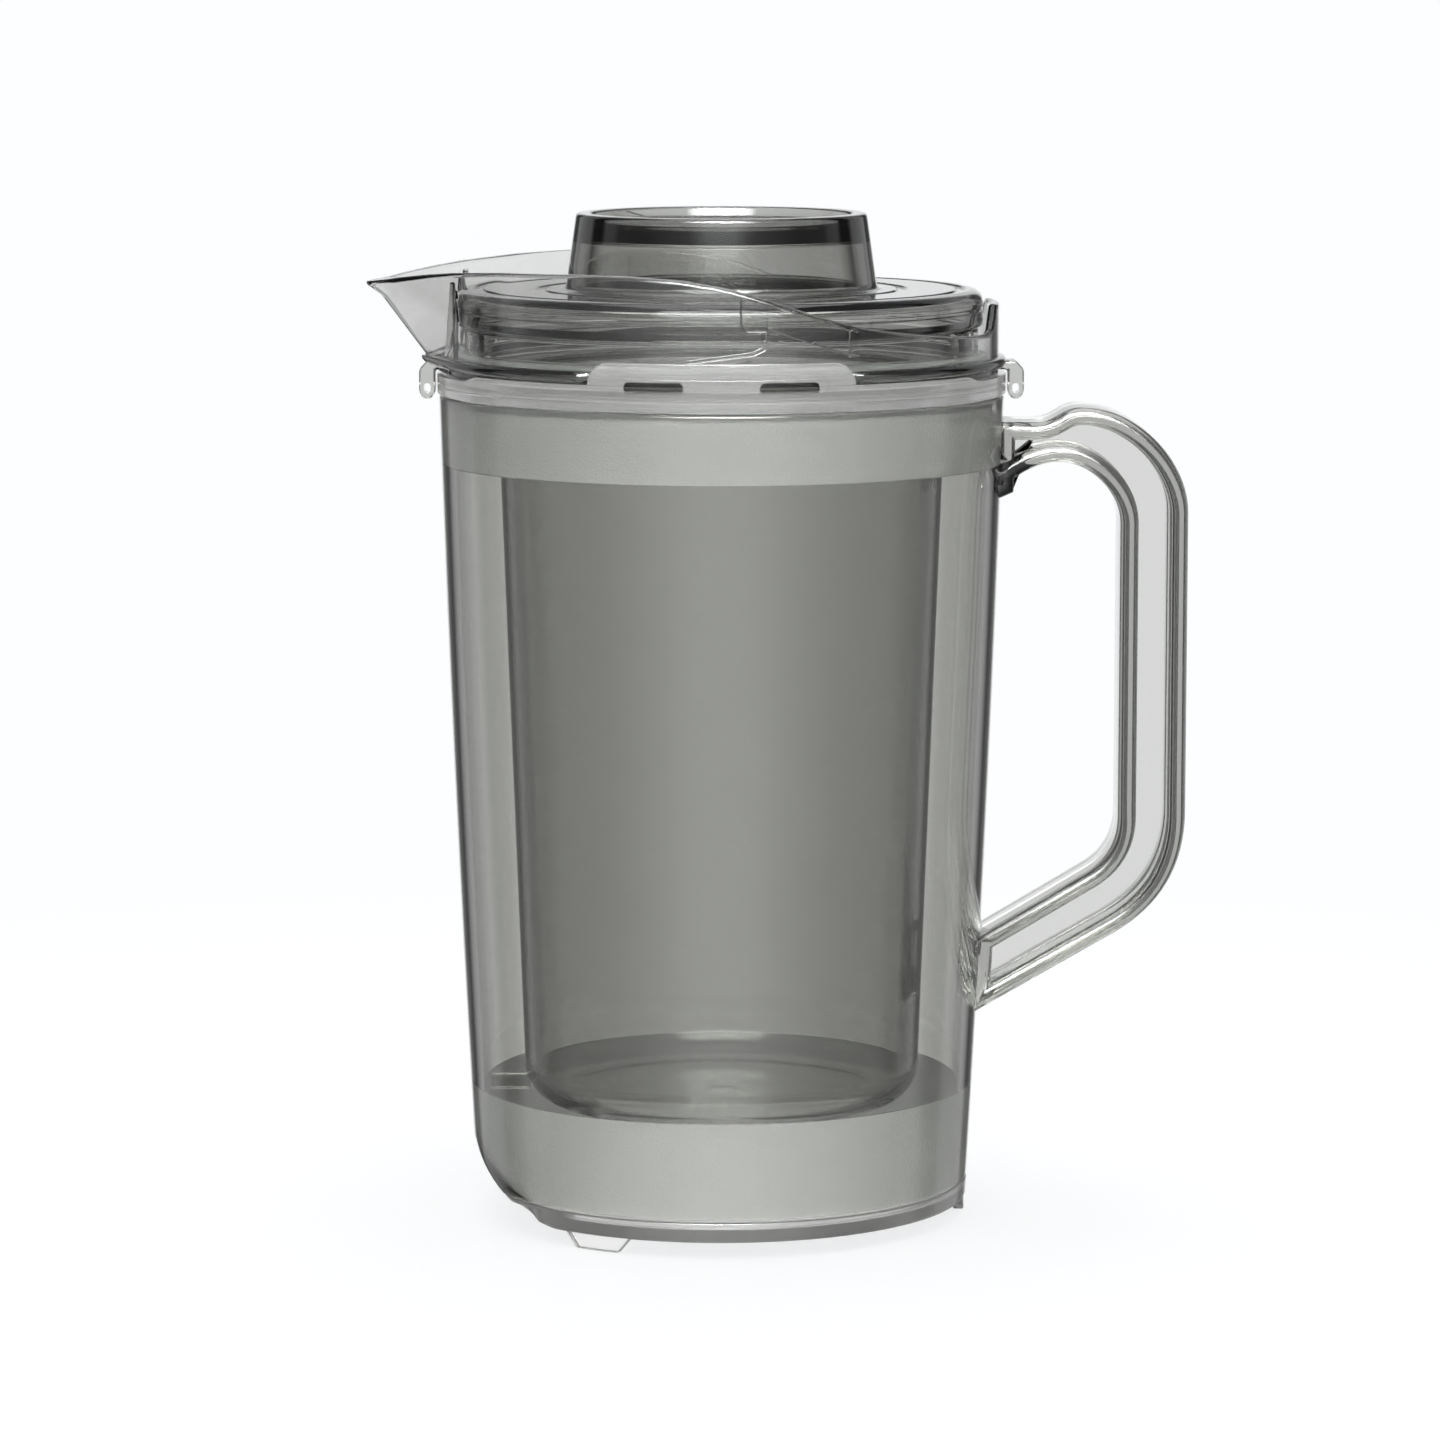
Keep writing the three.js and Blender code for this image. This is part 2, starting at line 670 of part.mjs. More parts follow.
// Lid: the plug's skirt stands on the collar's floor, and the cover closes the plug from above
const lidRadius = collarBore - rampProud - runningGap + fit;
const skirtRadius = lidRadius - skirtInset;
const skirtBore = skirtRadius - skirtWall;
const skirtBottom = collarFloorTop + fit;
const plugBottom = skirtBottom + skirtHeight;
const plugTop = plugBottom + plugPlate;
const coverBottom = plugBottom + fit;
const coverTop = coverBottom + lidEdgeHeight;
const coverBore = lidRadius - lidPlate;
const knobTop = coverTop + knobHeight;

function makeCover() {
  const dishTop = knobTop - dishDepth;
  const dishBottom = dishTop - dishPlate;
  const plateBottom = coverTop - lidPlate;
  const taperRate = (knobBaseRadius - knobTopRadius) / knobHeight;
  const knobRadius = (height) => knobTopRadius + taperRate * (knobTop - height);
  return turned([
    [0, dishTop],
    [knobTopRadius - knobWall, dishTop],
    [knobTopRadius - knobWall, knobTop],
    [knobTopRadius, knobTop],
    [knobBaseRadius, coverTop],
    ...bend(lidRadius - lidEdgeRound, coverTop - lidEdgeRound, lidEdgeRound, 90, 0),
    [lidRadius, coverBottom + lidPlate / 2],
    [lidRadius - lidPlate / 2, coverBottom],
    [coverBore, coverBottom],
    [coverBore, plateBottom],
    [knobRadius(plateBottom) - knobWall, plateBottom],
    [knobRadius(dishBottom) - knobWall, dishBottom],
    [0, dishBottom],
  ]);
}

addPiece('lid_cover', makeCover(), 0x5b5f5a, 0.08);

const lidSealBottom = skirtBottom + sealLip + fit;

function makePlug() {
  const grooveTop = lidSealBottom + sealHeight + fit;
  let plug = turned([
    [0, plugTop],
    [coverBore - fit, plugTop],
    [coverBore - fit, plugBottom],
    [skirtRadius, plugBottom],
    [skirtRadius, grooveTop],
    [skirtRadius - sealGroove, grooveTop],
    [skirtRadius - sealGroove, skirtBottom + sealLip],
    [skirtRadius - sealLipInset, skirtBottom + sealLip],
    [skirtRadius - sealLipInset, skirtBottom],
    [skirtBore, skirtBottom],
    [skirtBore, plugBottom],
    [0, plugBottom],
  ]);
  const windowTop = plugBottom - windowTopGap;
  const halfWidth = skirtRadius * Math.sin((windowAngle / 2) * degree);
  const windowBottom = windowTop - windowHeight;
  const windowEnd = skirtRadius + over;
  const opening = box(skirtBore - over, windowEnd, -halfWidth, halfWidth, windowBottom, windowTop);
  const pitch = windowAngle + slatAngle;
  for (let i = 0; i < windowCount; i += 1) {
    const angle = (i - (windowCount - 1) / 2) * pitch;
    plug = plug.subtract(aboutAxis(opening, angle)).subtract(aboutAxis(opening, angle + 180));
  }
  return plug;
}

addPiece('lid_plug', makePlug(), 0x666a65, 0.1);

// Seal round the lid's skirt, against the wall of the collar
const lidSeal = ring(
  skirtRadius - sealGroove + fit,
  collarBore - rampProud - fit,
  lidSealBottom,
  lidSealBottom + sealHeight,
);
addPiece('lid_seal', lidSeal, 0xd9dbd7, 0.5);

export default jug;
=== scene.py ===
import math

import bpy
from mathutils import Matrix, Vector


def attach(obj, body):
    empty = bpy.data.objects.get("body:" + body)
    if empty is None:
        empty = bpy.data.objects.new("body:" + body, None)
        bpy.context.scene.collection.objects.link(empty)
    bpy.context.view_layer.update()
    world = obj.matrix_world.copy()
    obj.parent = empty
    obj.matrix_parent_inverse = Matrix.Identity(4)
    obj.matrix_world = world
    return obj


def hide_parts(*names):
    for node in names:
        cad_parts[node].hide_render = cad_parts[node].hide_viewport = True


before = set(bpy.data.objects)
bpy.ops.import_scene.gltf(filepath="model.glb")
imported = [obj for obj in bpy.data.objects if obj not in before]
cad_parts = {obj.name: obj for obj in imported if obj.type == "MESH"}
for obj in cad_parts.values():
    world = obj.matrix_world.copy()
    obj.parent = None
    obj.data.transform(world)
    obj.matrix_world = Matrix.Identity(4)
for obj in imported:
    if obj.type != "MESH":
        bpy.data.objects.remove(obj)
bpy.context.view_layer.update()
mm = 0.001
weldDistance = 1e-6


# Tools for turning, drawing and joining

def objectMode():
    if bpy.context.mode != "OBJECT":
        bpy.ops.object.mode_set(mode="OBJECT")


def selectOnly(piece):
    objectMode()
    bpy.ops.object.select_all(action="DESELECT")
    piece.select_set(True)
    bpy.context.view_layer.objects.active = piece


def startPoint(name, point):
    # a small plane drawn together into one vertex, to extrude from
    objectMode()
    bpy.ops.object.select_all(action="DESELECT")
    bpy.ops.mesh.primitive_plane_add(size=mm, location=(0, 0, 0))
    piece = bpy.context.object
    piece.name = name
    piece.data.name = name
    bpy.ops.object.mode_set(mode="EDIT")
    bpy.ops.mesh.select_mode(type="VERT")
    bpy.ops.mesh.select_all(action="SELECT")
    bpy.ops.mesh.merge(type="CENTER")
    bpy.ops.transform.translate(value=point)
    return piece


def extrudeAlong(points):
    # from the selected vertex through the points, the first of which it is on
    for here, there in zip(points, points[1:]):
        step = there - here
        bpy.ops.mesh.extrude_region_move(TRANSFORM_OT_translate={"value": step})


def closeMesh():
    bpy.ops.mesh.select_all(action="SELECT")
    bpy.ops.mesh.remove_doubles(threshold=weldDistance)
    bpy.ops.mesh.normals_make_consistent(inside=False)
    objectMode()


def roundCorners(corners, arcSteps=4, closed=True, hold=0.25):
    # corners are (across, up, radius) in mm; a short straight is kept beside each arc
    path = []
    count = len(corners)
    for i, (across, up, radius) in enumerate(corners):
        point = Vector((across, up))
        if radius == 0 or (not closed and i in (0, count - 1)):
            path.append(point)
            continue
        back = Vector(corners[i - 1][:2]) - point
        ahead = Vector(corners[(i + 1) % count][:2]) - point
        angle = back.angle(ahead)
        reach = radius / math.tan(angle / 2)
        start = back.normalized() * reach
        end = ahead.normalized() * reach
        middle = (back.normalized() + ahead.normalized()).normalized() * (radius / math.sin(angle / 2))
        sweep = math.pi - angle
        if back.length > reach + 2 * hold:
            path.append(point + back.normalized() * (reach + hold))
        for k in range(arcSteps + 1):
            share = k / arcSteps
            arm = (start - middle) * math.sin((1 - share) * sweep) + (end - middle) * math.sin(share * sweep)
            path.append(point + middle + arm / math.sin(sweep))
        if ahead.length > reach + 2 * hold:
            path.append(point + ahead.normalized() * (reach + hold))
    return path


def turnProfile(name, path, steps, closed=True):
    # path in mm, drawn in X and Z and spun about the jug's axis
    points = [Vector((p.x * mm, 0, p.y * mm)) for p in path]
    if closed:
        points.append(points[0])
    piece = startPoint(name, points[0])
    extrudeAlong(points)
    bpy.ops.mesh.select_all(action="SELECT")
    bpy.ops.mesh.spin(steps=steps, angle=math.tau, center=(0, 0, 0), axis=(0, 0, 1))
    closeMesh()
    return piece


def arcMoves(radius, start, end, count):
    # an arc as small moves (inwards, out), from upright at 0 degrees to flat at 90
    turns = [math.radians(start + (end - start) * k / count) for k in range(count + 1)]
    inwards = [radius * (math.cos(a) - math.cos(b)) for a, b in zip(turns, turns[1:])]
    out = [radius * (math.sin(b) - math.sin(a)) for a, b in zip(turns, turns[1:])]
    return list(zip(inwards, out))


def drawSides(piece, moves):
    # draws both flat sides of a plate inwards and out along Y, one move after another
    selectOnly(piece)
    bpy.ops.object.mode_set(mode="EDIT")
    bpy.ops.mesh.select_mode(type="FACE")
    bpy.ops.mesh.select_all(action="DESELECT")
    objectMode()
    for face in piece.data.polygons:
        face.select = abs(face.normal.y) > 0.9
    bpy.ops.object.mode_set(mode="EDIT")
    for inwards, out in moves:
        bpy.ops.mesh.inset(thickness=inwards * mm, depth=out * mm, use_even_offset=True)
    objectMode()


def drawPlate(name, path, thickness, middle=0):
    # a closed outline in X and Z, filled and extruded along Y
    points = [Vector((p.x * mm, (middle - thickness / 2) * mm, p.y * mm)) for p in path]
    piece = startPoint(name, points[0])
    extrudeAlong(points + [points[0]])
    bpy.ops.mesh.select_all(action="SELECT")
    bpy.ops.mesh.remove_doubles(threshold=weldDistance)
    bpy.ops.mesh.edge_face_add()
    bpy.ops.mesh.extrude_region_move(TRANSFORM_OT_translate={"value": (0, thickness * mm, 0)})
    closeMesh()
    return piece


def bevelEdges(piece, width, segments=4, angle=40):
    selectOnly(piece)
    bevel = piece.modifiers.new("roundedEdges", "BEVEL")
    bevel.width = width * mm
    bevel.segments = segments
    bevel.limit_method = "ANGLE"
    bevel.angle_limit = math.radians(angle)
    bevel.use_clamp_overlap = True
    bpy.ops.object.modifier_apply(modifier=bevel.name)


def combine(piece, other, operation):
    # joins or cuts with another piece, which is used up
    selectOnly(piece)
    step = piece.modifiers.new("combine", "BOOLEAN")
    step.operation = operation
    step.solver = "MANIFOLD"
    step.object = other
    bpy.ops.object.modifier_apply(modifier=step.name)
    spare = other.data
    bpy.data.objects.remove(other)
    bpy.data.meshes.remove(spare)


def smooth(piece, angle=38):
    selectOnly(piece)
    bpy.ops.object.shade_smooth_by_angle(angle=math.radians(angle))
    step = piece.modifiers.new("evenNormals", "WEIGHTED_NORMAL")
    step.keep_sharp = True
    bpy.ops.object.modifier_apply(modifier=step.name)


def sliceAcross(piece, step):
    # cuts along X, so that a flat plate can be bent
    selectOnly(piece)
    low = min(vertex.co.x for vertex in piece.data.vertices)
    high = max(vertex.co.x for vertex in piece.data.vertices)
    count = int((high - low) / (step * mm))
    bpy.ops.object.mode_set(mode="EDIT")
    for k in range(1, count):
        bpy.ops.mesh.select_all(action="SELECT")
        place = low + (high - low) * k / count
        bpy.ops.mesh.bisect(plane_co=(place, 0, 0), plane_no=(1, 0, 0))
    objectMode()


def reshape(piece, place):
    # moves every vertex, given and placed in mm, and turns the faces out again
    for vertex in piece.data.vertices:
        vertex.co = place(*(value / mm for value in vertex.co)) * mm
    selectOnly(piece)
    bpy.ops.object.mode_set(mode="EDIT")
    closeMesh()


def curveThrough(a, pullA, pullB, b, steps):
    path = []
    for k in range(steps + 1):
        t = k / steps
        s = 1 - t
        path.append(a * s ** 3 + pullA * (3 * s * s * t) + pullB * (3 * s * t * t) + b * t ** 3)
    return path


def elbow(a, corner, b, steps):
    return curveThrough(a, a.lerp(corner, 2 / 3), b.lerp(corner, 2 / 3), b, steps)


def at(across, up):
    return Vector((across, up))


def ease(share):
    share = min(max(share, 0), 1)
    return share * share * (3 - 2 * share)


def finishPiece(piece, body, node, material):
    piece.data.materials.clear()
    piece.data.materials.append(material)
    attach(piece, body)
    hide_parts(node)
    print("piece ready:", piece.name, len(piece.data.polygons), "faces")


# Clear smoky plastic: absorbs in its thickness, so edges and stacked walls go dark

smoke = {
    "tint": (0.415, 0.42, 0.39), "density": 222.0, "ior": 1.5, "clear": (1, 1, 1, 1), "milky": (0.97, 0.97, 0.96, 1),
    "cloudScale": 55, "cloudDetail": 3, "cloudRange": (0.3, 0.7), "flowScale": 28, "flowDetail": 1,
    "flowDepth": 0.001, "ripple": 0.02, "grainDetail": 2, "grainDepth": 0.0004, "gloss": (0.0, 0.012),
}


def addNode(tree, kind, x, y, **values):
    node = tree.nodes.new(kind)
    node.location = (x, y)
    for name, value in values.items():
        setattr(node, name, value)
    return node


def setInputs(node, values):
    for name, value in values.items():
        node.inputs[name].default_value = value


def feed(tree, sockets, values):
    # numbers are set on the sockets, outputs are linked to them
    for socket, value in zip(sockets, values):
        if isinstance(value, (int, float)):
            socket.default_value = value
        else:
            tree.links.new(value, socket)


def numberNode(tree, operation, x, y, first, second=0):
    node = addNode(tree, "ShaderNodeMath", x, y, operation=operation)
    feed(tree, node.inputs, (first, second))
    return node.outputs[0]


def rangeNode(tree, x, y, value, low, high, outLow, outHigh):
    node = addNode(tree, "ShaderNodeMapRange", x, y)
    setInputs(node, {"From Min": low, "From Max": high, "To Min": outLow, "To Max": outHigh})
    tree.links.new(value, node.inputs["Value"])
    return node.outputs[0]


def noiseNode(tree, x, y, place, scale, detail):
    node = addNode(tree, "ShaderNodeTexNoise", x, y)
    setInputs(node, {"Scale": scale, "Detail": detail})
    tree.links.new(place, node.inputs["Vector"])
    return node.outputs[0]


def bumpNode(tree, x, y, height, strength, depth):
    node = addNode(tree, "ShaderNodeBump", x, y)
    setInputs(node, {"Strength": strength, "Distance": depth})
    tree.links.new(height, node.inputs["Height"])
    return node


def startMaterial(name):
    material = bpy.data.materials.new(name)
    material.use_nodes = True
    return material, material.node_tree, material.node_tree.nodes["Principled BSDF"]


def clearPlastic(name, density=smoke["density"], gloss=smoke["gloss"], milk=0.0, frost=None):
    material, tree, shader = startMaterial(name)
    setInputs(shader, {
        "Base Color": smoke["milky"] if milk or frost else smoke["clear"],
        "Transmission Weight": 1 - milk, "IOR": smoke["ior"]})
    volume = addNode(tree, "ShaderNodeVolumeAbsorption", 0, -400)
    setInputs(volume, {"Color": (*smoke["tint"], 1), "Density": density})
    tree.links.new(volume.outputs[0], tree.nodes["Material Output"].inputs["Volume"])
    place = addNode(tree, "ShaderNodeTexCoord", -1500, 0).outputs["Object"]
    cloud = noiseNode(tree, -1200, 200, place, smoke["cloudScale"], smoke["cloudDetail"])
    rough = rangeNode(tree, -900, 200, cloud, *smoke["cloudRange"], *gloss)
    flow = noiseNode(tree, -1200, -200, place, smoke["flowScale"], smoke["flowDetail"])
    bump = bumpNode(tree, -500, -200, flow, smoke["ripple"], smoke["flowDepth"])
    if frost:
        share = frost["share"](tree, place)
        even = numberNode(tree, "SUBTRACT", -700, 350, 1.0, share)
        milky = numberNode(tree, "MULTIPLY", -500, 600, share, frost["milk"])
        tree.links.new(numberNode(tree, "SUBTRACT", -300, 600, 1.0, milky), shader.inputs["Transmission Weight"])
        clear = numberNode(tree, "MULTIPLY", -500, 300, rough, even)
        matt = numberNode(tree, "MULTIPLY", -500, 450, share, frost["roughness"])
        rough = numberNode(tree, "ADD", -300, 350, clear, matt)
        grain = noiseNode(tree, -1200, -500, place, frost["grain"], smoke["grainDetail"])
        pits = numberNode(tree, "MULTIPLY", -900, -500, grain, share)
        grit = bumpNode(tree, -250, -350, pits, frost["grit"], smoke["grainDepth"])
        tree.links.new(bump.outputs[0], grit.inputs["Normal"])
        bump = grit
    tree.links.new(rough, shader.inputs["Roughness"])
    tree.links.new(bump.outputs[0], shader.inputs["Normal"])
    return material


# Outer wall: slightly bulged taper with a rounded corner below the spout

shell = {
    "height": 191.2, "topRadius": 66.4, "bottomRadius": 58.3, "bulge": 0.7, "wall": 2.8,
    "bottom": 5.1, "edge": 0.6, "cornerLength": 19.5, "cornerHeight": 13.9, "cornerFullness": 0.74,
    "cornerBlend": 1.6, "cornerSteps": 40, "cornerRows": 15, "rowStep": 1.2,
    "rows": [30, 45, 60, 80, 100, 120, 140, 160, 175], "steps": 192,
    "frostTop": 175.2, "frostBottom": 27.8, "frostBlend": 0.1, "frostDepth": 0.3, "insideBlend": 0.2,
}
shellFrost = {"roughness": 0.42, "grain": 2400, "grit": 0.4, "milk": 0.68}
beyond = -1000


def shellRadius(height):
    share = height / shell["height"]
    straight = shell["bottomRadius"] + (shell["topRadius"] - shell["bottomRadius"]) * share
    return straight + 4 * shell["bulge"] * share * (1 - share)


def cornerLine(inset):
    # the rounded corner in side view, from the floor up to the spout-side wall
    nose = shellRadius(shell["cornerHeight"]) - inset
    pull = 1 - shell["cornerFullness"]
    floor = at(-nose + shell["cornerLength"], inset)
    middle = at(-nose + shell["cornerLength"] * pull, inset + shell["cornerHeight"] * pull)
    return elbow(floor, middle, at(-nose, inset + shell["cornerHeight"]), shell["cornerSteps"])


def cornerEdge(height, line):
    # how far out the corner reaches at a height
    if height >= line[-1].y:
        return beyond
    if height <= line[0].y:
        return line[0].x
    for low, high in zip(line, line[1:]):
        if height <= high.y:
            return low.x + (high.x - low.x) * (height - low.y) / (high.y - low.y)
    return beyond


def pressCorner(piece, insetOf):
    # vertices outside the rounded corner are drawn back onto it, with a soft crease
    lines = {}
    blend = shell["cornerBlend"]
    for vertex in piece.data.vertices:
        x, y, z = (value / mm for value in vertex.co)
        inset = round(insetOf(math.hypot(x, y), z), 2)
        if inset not in lines:
            lines[inset] = cornerLine(inset)
        edge = cornerEdge(z, lines[inset])
        gap = x - edge
        if gap < blend:
            drawn = edge if gap < -blend else edge + (gap + blend) ** 2 / (4 * blend)
            vertex.co = Vector((drawn, y * drawn / x, z)) * mm
    selectOnly(piece)
    bpy.ops.object.mode_set(mode="EDIT")
    closeMesh()


def shellPath():
    top = shell["height"]
    low = shell["bottom"]
    wall = shell["wall"]
    edge = shell["edge"]
    rows = shell["rows"]
    heights = [low + k * shell["rowStep"] for k in range(1, shell["cornerRows"] + 1)] + rows
    outside = [at(shellRadius(z), z) for z in heights]
    inside = [at(shellRadius(z) - wall, z) for z in reversed(heights)]
    rim = roundCorners([
        (shellRadius(rows[-1]), rows[-1], 0), (shellRadius(top), top, edge),
        (shellRadius(top) - wall, top, edge), (shellRadius(rows[-1]) - wall, rows[-1], 0)], closed=False)
    foot = roundCorners([
        (shellRadius(rows[0]) - wall, rows[0], 0), (shellRadius(low) - wall, low, edge / 2),
        (shellRadius(low), low, edge / 2), (shellRadius(rows[0]), rows[0], 0)], closed=False)
    return outside + rim[1:-1] + inside + foot[1:-1]


handle = {
    "width": 20, "outer": 109.5, "inner": 93.6, "top": 188.6, "dip": 3.5, "saddle": 73.2, "bulge": 84.5,
    "bendEnd": 163.6, "topArm": 12.9, "archMiddle": 79.2, "archEnd": 161.3, "archDrop": 6.4, "archWall": 65.5,
    "footHeight": 45.3, "footArm": 18.4, "footWall": 60.73, "slope": 30, "outerBend": 19.5, "innerBend": 9,
    "flange": 4.3, "web": 5.6, "webStep": 0.02, "fillet": 0.6, "rootDepth": 1.6, "rootSink": 0.6, "rootGap": 0.05,
    "coreRows": (30, 200, 10), "barSteps": 14, "filletSteps": 4, "density": 85.0,
}


def handlePath():
    h = handle
    slope = math.radians(h["slope"])
    along = at(math.cos(slope), math.sin(slope))
    outerCorner = at(h["outer"], h["footHeight"] + (h["outer"] - h["footWall"]) * math.tan(slope))
    innerFoot = h["footHeight"] + h["footArm"]
    innerCorner = at(h["inner"], innerFoot + (h["inner"] - h["footWall"]) * math.tan(slope))
    saddle = at(h["saddle"], h["top"] - h["dip"])
    bulge = at(h["bulge"], h["top"])
    middle = (saddle.x + bulge.x) / 2
    bendEnd = at(h["outer"], h["bendEnd"])
    root = h["rootDepth"]
    path = [at(shellRadius(saddle.y) - root, saddle.y)]
    path += curveThrough(saddle, at(middle, saddle.y), at(middle, bulge.y), bulge, 12)
    path += curveThrough(bulge, at((bulge.x + bendEnd.x) / 2, bulge.y),
                         at(bendEnd.x, (bulge.y + bendEnd.y) / 2), bendEnd, 20)[1:]
    path += elbow(outerCorner + at(0, h["outerBend"]), outerCorner, outerCorner - along * h["outerBend"], 16)
    path += [at(shellRadius(h["footHeight"]) - root, h["footHeight"] - root * math.tan(slope))]
    path += [at(shellRadius(innerFoot) - root, innerFoot - root * math.tan(slope))]
    path += elbow(innerCorner - along * h["innerBend"], innerCorner, innerCorner + at(0, h["innerBend"]), 12)
    archTop = h["top"] - h["topArm"]
    archEnd = at(h["inner"], h["archEnd"])
    crown = at(h["archMiddle"], archTop)
    path += curveThrough(archEnd, at(archEnd.x, (archEnd.y + archTop) / 2),
                         at((archEnd.x + crown.x) / 2, archTop), crown, 14)
    wallEnd = at(h["archWall"], archTop - h["archDrop"])
    path += elbow(crown, at((crown.x + wallEnd.x) / 2, archTop), wallEnd, 10)[1:]
    path += [at(shellRadius(wallEnd.y) - root, wallEnd.y - h["rootSink"])]
    return path


def makeHandle():
    # both edges are round bars, with a thinner web between them
    h = handle
    bar = h["flange"] / 2
    piece = drawPlate("grip", handlePath(), h["width"] - h["flange"])
    moves = arcMoves(bar, 0, 180, h["barSteps"])
    fillet = h["fillet"]
    moves.append((h["webStep"], (h["web"] - h["width"]) / 2 + bar + fillet))
    moves += [(out, -inwards) for inwards, out in reversed(arcMoves(fillet, 90, 0, h["filletSteps"]))]
    drawSides(piece, moves)
    return piece


def frostShare(tree, place):
    # the inside of the wall is frosted above and below two heights
    parts = addNode(tree, "ShaderNodeSeparateXYZ", -1300, 700)
    tree.links.new(place, parts.inputs[0])
    height = parts.outputs[2]
    top, bottom, blend = (shell[key] for key in ("frostTop", "frostBottom", "frostBlend"))
    above = rangeNode(tree, -1100, 900, height, (top - blend) * mm, (top + blend) * mm, 0, 1)
    below = rangeNode(tree, -1100, 700, height, (bottom - blend) * mm, (bottom + blend) * mm, 1, 0)
    flat = addNode(tree, "ShaderNodeVectorMath", -1300, 500, operation="MULTIPLY")
    flat.inputs[1].default_value = (1, 1, 0)
    tree.links.new(place, flat.inputs[0])
    radius = addNode(tree, "ShaderNodeVectorMath", -1100, 500, operation="LENGTH")
    tree.links.new(flat.outputs[0], radius.inputs[0])
    slope = (shell["topRadius"] - shell["bottomRadius"]) / shell["height"]
    taper = numberNode(tree, "MULTIPLY", -900, 700, height, slope)
    depth = numberNode(tree, "SUBTRACT", -750, 600, radius.outputs["Value"], taper)
    middle = (shell["bottomRadius"] - shell["wall"] / 2 + shell["frostDepth"]) * mm
    soft = shell["insideBlend"] * mm
    inside = rangeNode(tree, -600, 600, depth, middle - soft, middle + soft, 1, 0)
    bands = numberNode(tree, "MAXIMUM", -900, 850, above, below)
    return numberNode(tree, "MULTIPLY", -450, 700, bands, inside)


def makeShell():
    piece = turnProfile("outerShell", shellPath(), steps=shell["steps"])
    inner = shell["wall"] / 2
    pressCorner(piece, lambda r, z: 0 if r > shellRadius(z) - inner else shell["wall"])
    smooth(piece)
    material = clearPlastic("smokyShell", frost={"share": frostShare, **shellFrost})
    finishPiece(piece, "jug", "outer_body", material)


makeShell()


def makeGrip():
    piece = makeHandle()
    clear = [at(shellRadius(z) + handle["rootGap"], z) for z in range(*handle["coreRows"])]
    ends = at(0, clear[0].y), at(0, clear[-1].y)
    core = turnProfile("core", [ends[0], *clear, ends[1]], steps=shell["steps"], closed=False)
    combine(piece, core, "DIFFERENCE")
    smooth(piece)
    finishPiece(piece, "jug", "outer_body", clearPlastic("smokyGrip", density=handle["density"]))


makeGrip()


# Base dish: closes the wall from below and stands on three feet

dish = {
    "rimHeight": 4.8, "plate": 2.4, "spigotTop": 8.8, "spigotGap": 0.3, "spigotWall": 2.0, "edge": 0.8, "ring": 30,
    "footHeight": 3.5, "footDepth": 2.5, "footTopAngle": 18, "footBottomAngle": 11, "footTop": 0.6, "footCorner": 0.8,
    "footEdge": 0.4, "footInset": 0.3, "footSlice": 1.5, "footPlaces": (0, 120, 240),
}
dishLook = {"density": 30.0, "gloss": (0.1, 0.2), "milk": 0.12}


def dishPath():
    d = dish
    outer = shellRadius(0)
    spigot = shellRadius(d["rimHeight"]) - shell["wall"] - d["spigotGap"]
    bore = spigot - d["spigotWall"]
    return roundCorners([
        (0, 0, 0), (d["ring"], 0, 0), (outer, 0, d["edge"]), (shellRadius(d["rimHeight"]), d["rimHeight"], 0.4),
        (spigot, d["rimHeight"], 0.2), (spigot, d["spigotTop"], 0.5), (bore, d["spigotTop"], 0.5),
        (bore, d["plate"], 1.2), (d["ring"], d["plate"], 0), (0, d["plate"], 0)], closed=False)


def makeFoot(angle):
    d = dish
    radius = shellRadius(0)
    wide = radius * math.sin(math.radians(d["footTopAngle"] / 2))
    narrow = radius * math.sin(math.radians(d["footBottomAngle"] / 2))
    low, top, corner = -d["footHeight"], d["footTop"], d["footCorner"]
    path = roundCorners([(-narrow, low, corner), (narrow, low, corner), (wide, top, 0), (-wide, top, 0)])
    foot = drawPlate("foot", path, d["footDepth"])
    bevelEdges(foot, d["footEdge"], segments=3)
    sliceAcross(foot, d["footSlice"])

    def bent(x, y, z):
        turn = math.radians(angle) + x / radius
        reach = radius - d["footDepth"] / 2 - d["footInset"] - y
        return Vector((reach * math.cos(turn), reach * math.sin(turn), z))

    reshape(foot, bent)
    return foot


def dishInset(radius, height):
    # outside, spigot and inside of the dish keep their own distance from the rounded corner
    d = dish
    spigot = shellRadius(d["rimHeight"]) - shell["wall"] - d["spigotGap"]
    if height <= d["rimHeight"] + 0.01 and (radius > spigot + 0.6 or height < 0.1):
        return 0
    if radius > spigot - d["spigotWall"] / 2:
        return shell["wall"] + d["spigotGap"]
    return shell["wall"] + d["spigotGap"] + d["spigotWall"]


def makeDish():
    piece = turnProfile("baseDish", dishPath(), steps=shell["steps"], closed=False)
    pressCorner(piece, dishInset)
    for angle in dish["footPlaces"]:
        combine(piece, makeFoot(angle), "UNION")
    smooth(piece)
    finishPiece(piece, "jug", "base_cover", clearPlastic("smokyBase", **dishLook))


makeDish()


# Inner cup: hangs by its flange on the rim, with a lug beside its foot

cup = {
    "floor": 23.2, "footRadius": 46.6, "mouthRadius": 52.8, "corner": 9, "wall": 2.2, "flangeBottom": 191.5,
    "flangeTop": 193.7, "flangeRadius": 65.2, "lugBottom": 25.1, "lugTop": 28.6, "lugWidth": 4, "lugReach": 55.4,
    "lugStart": 1, "lugEdge": 0.4, "gateRadius": 3.2, "gateSlope": 0.6, "gateDepth": 0.5,
}


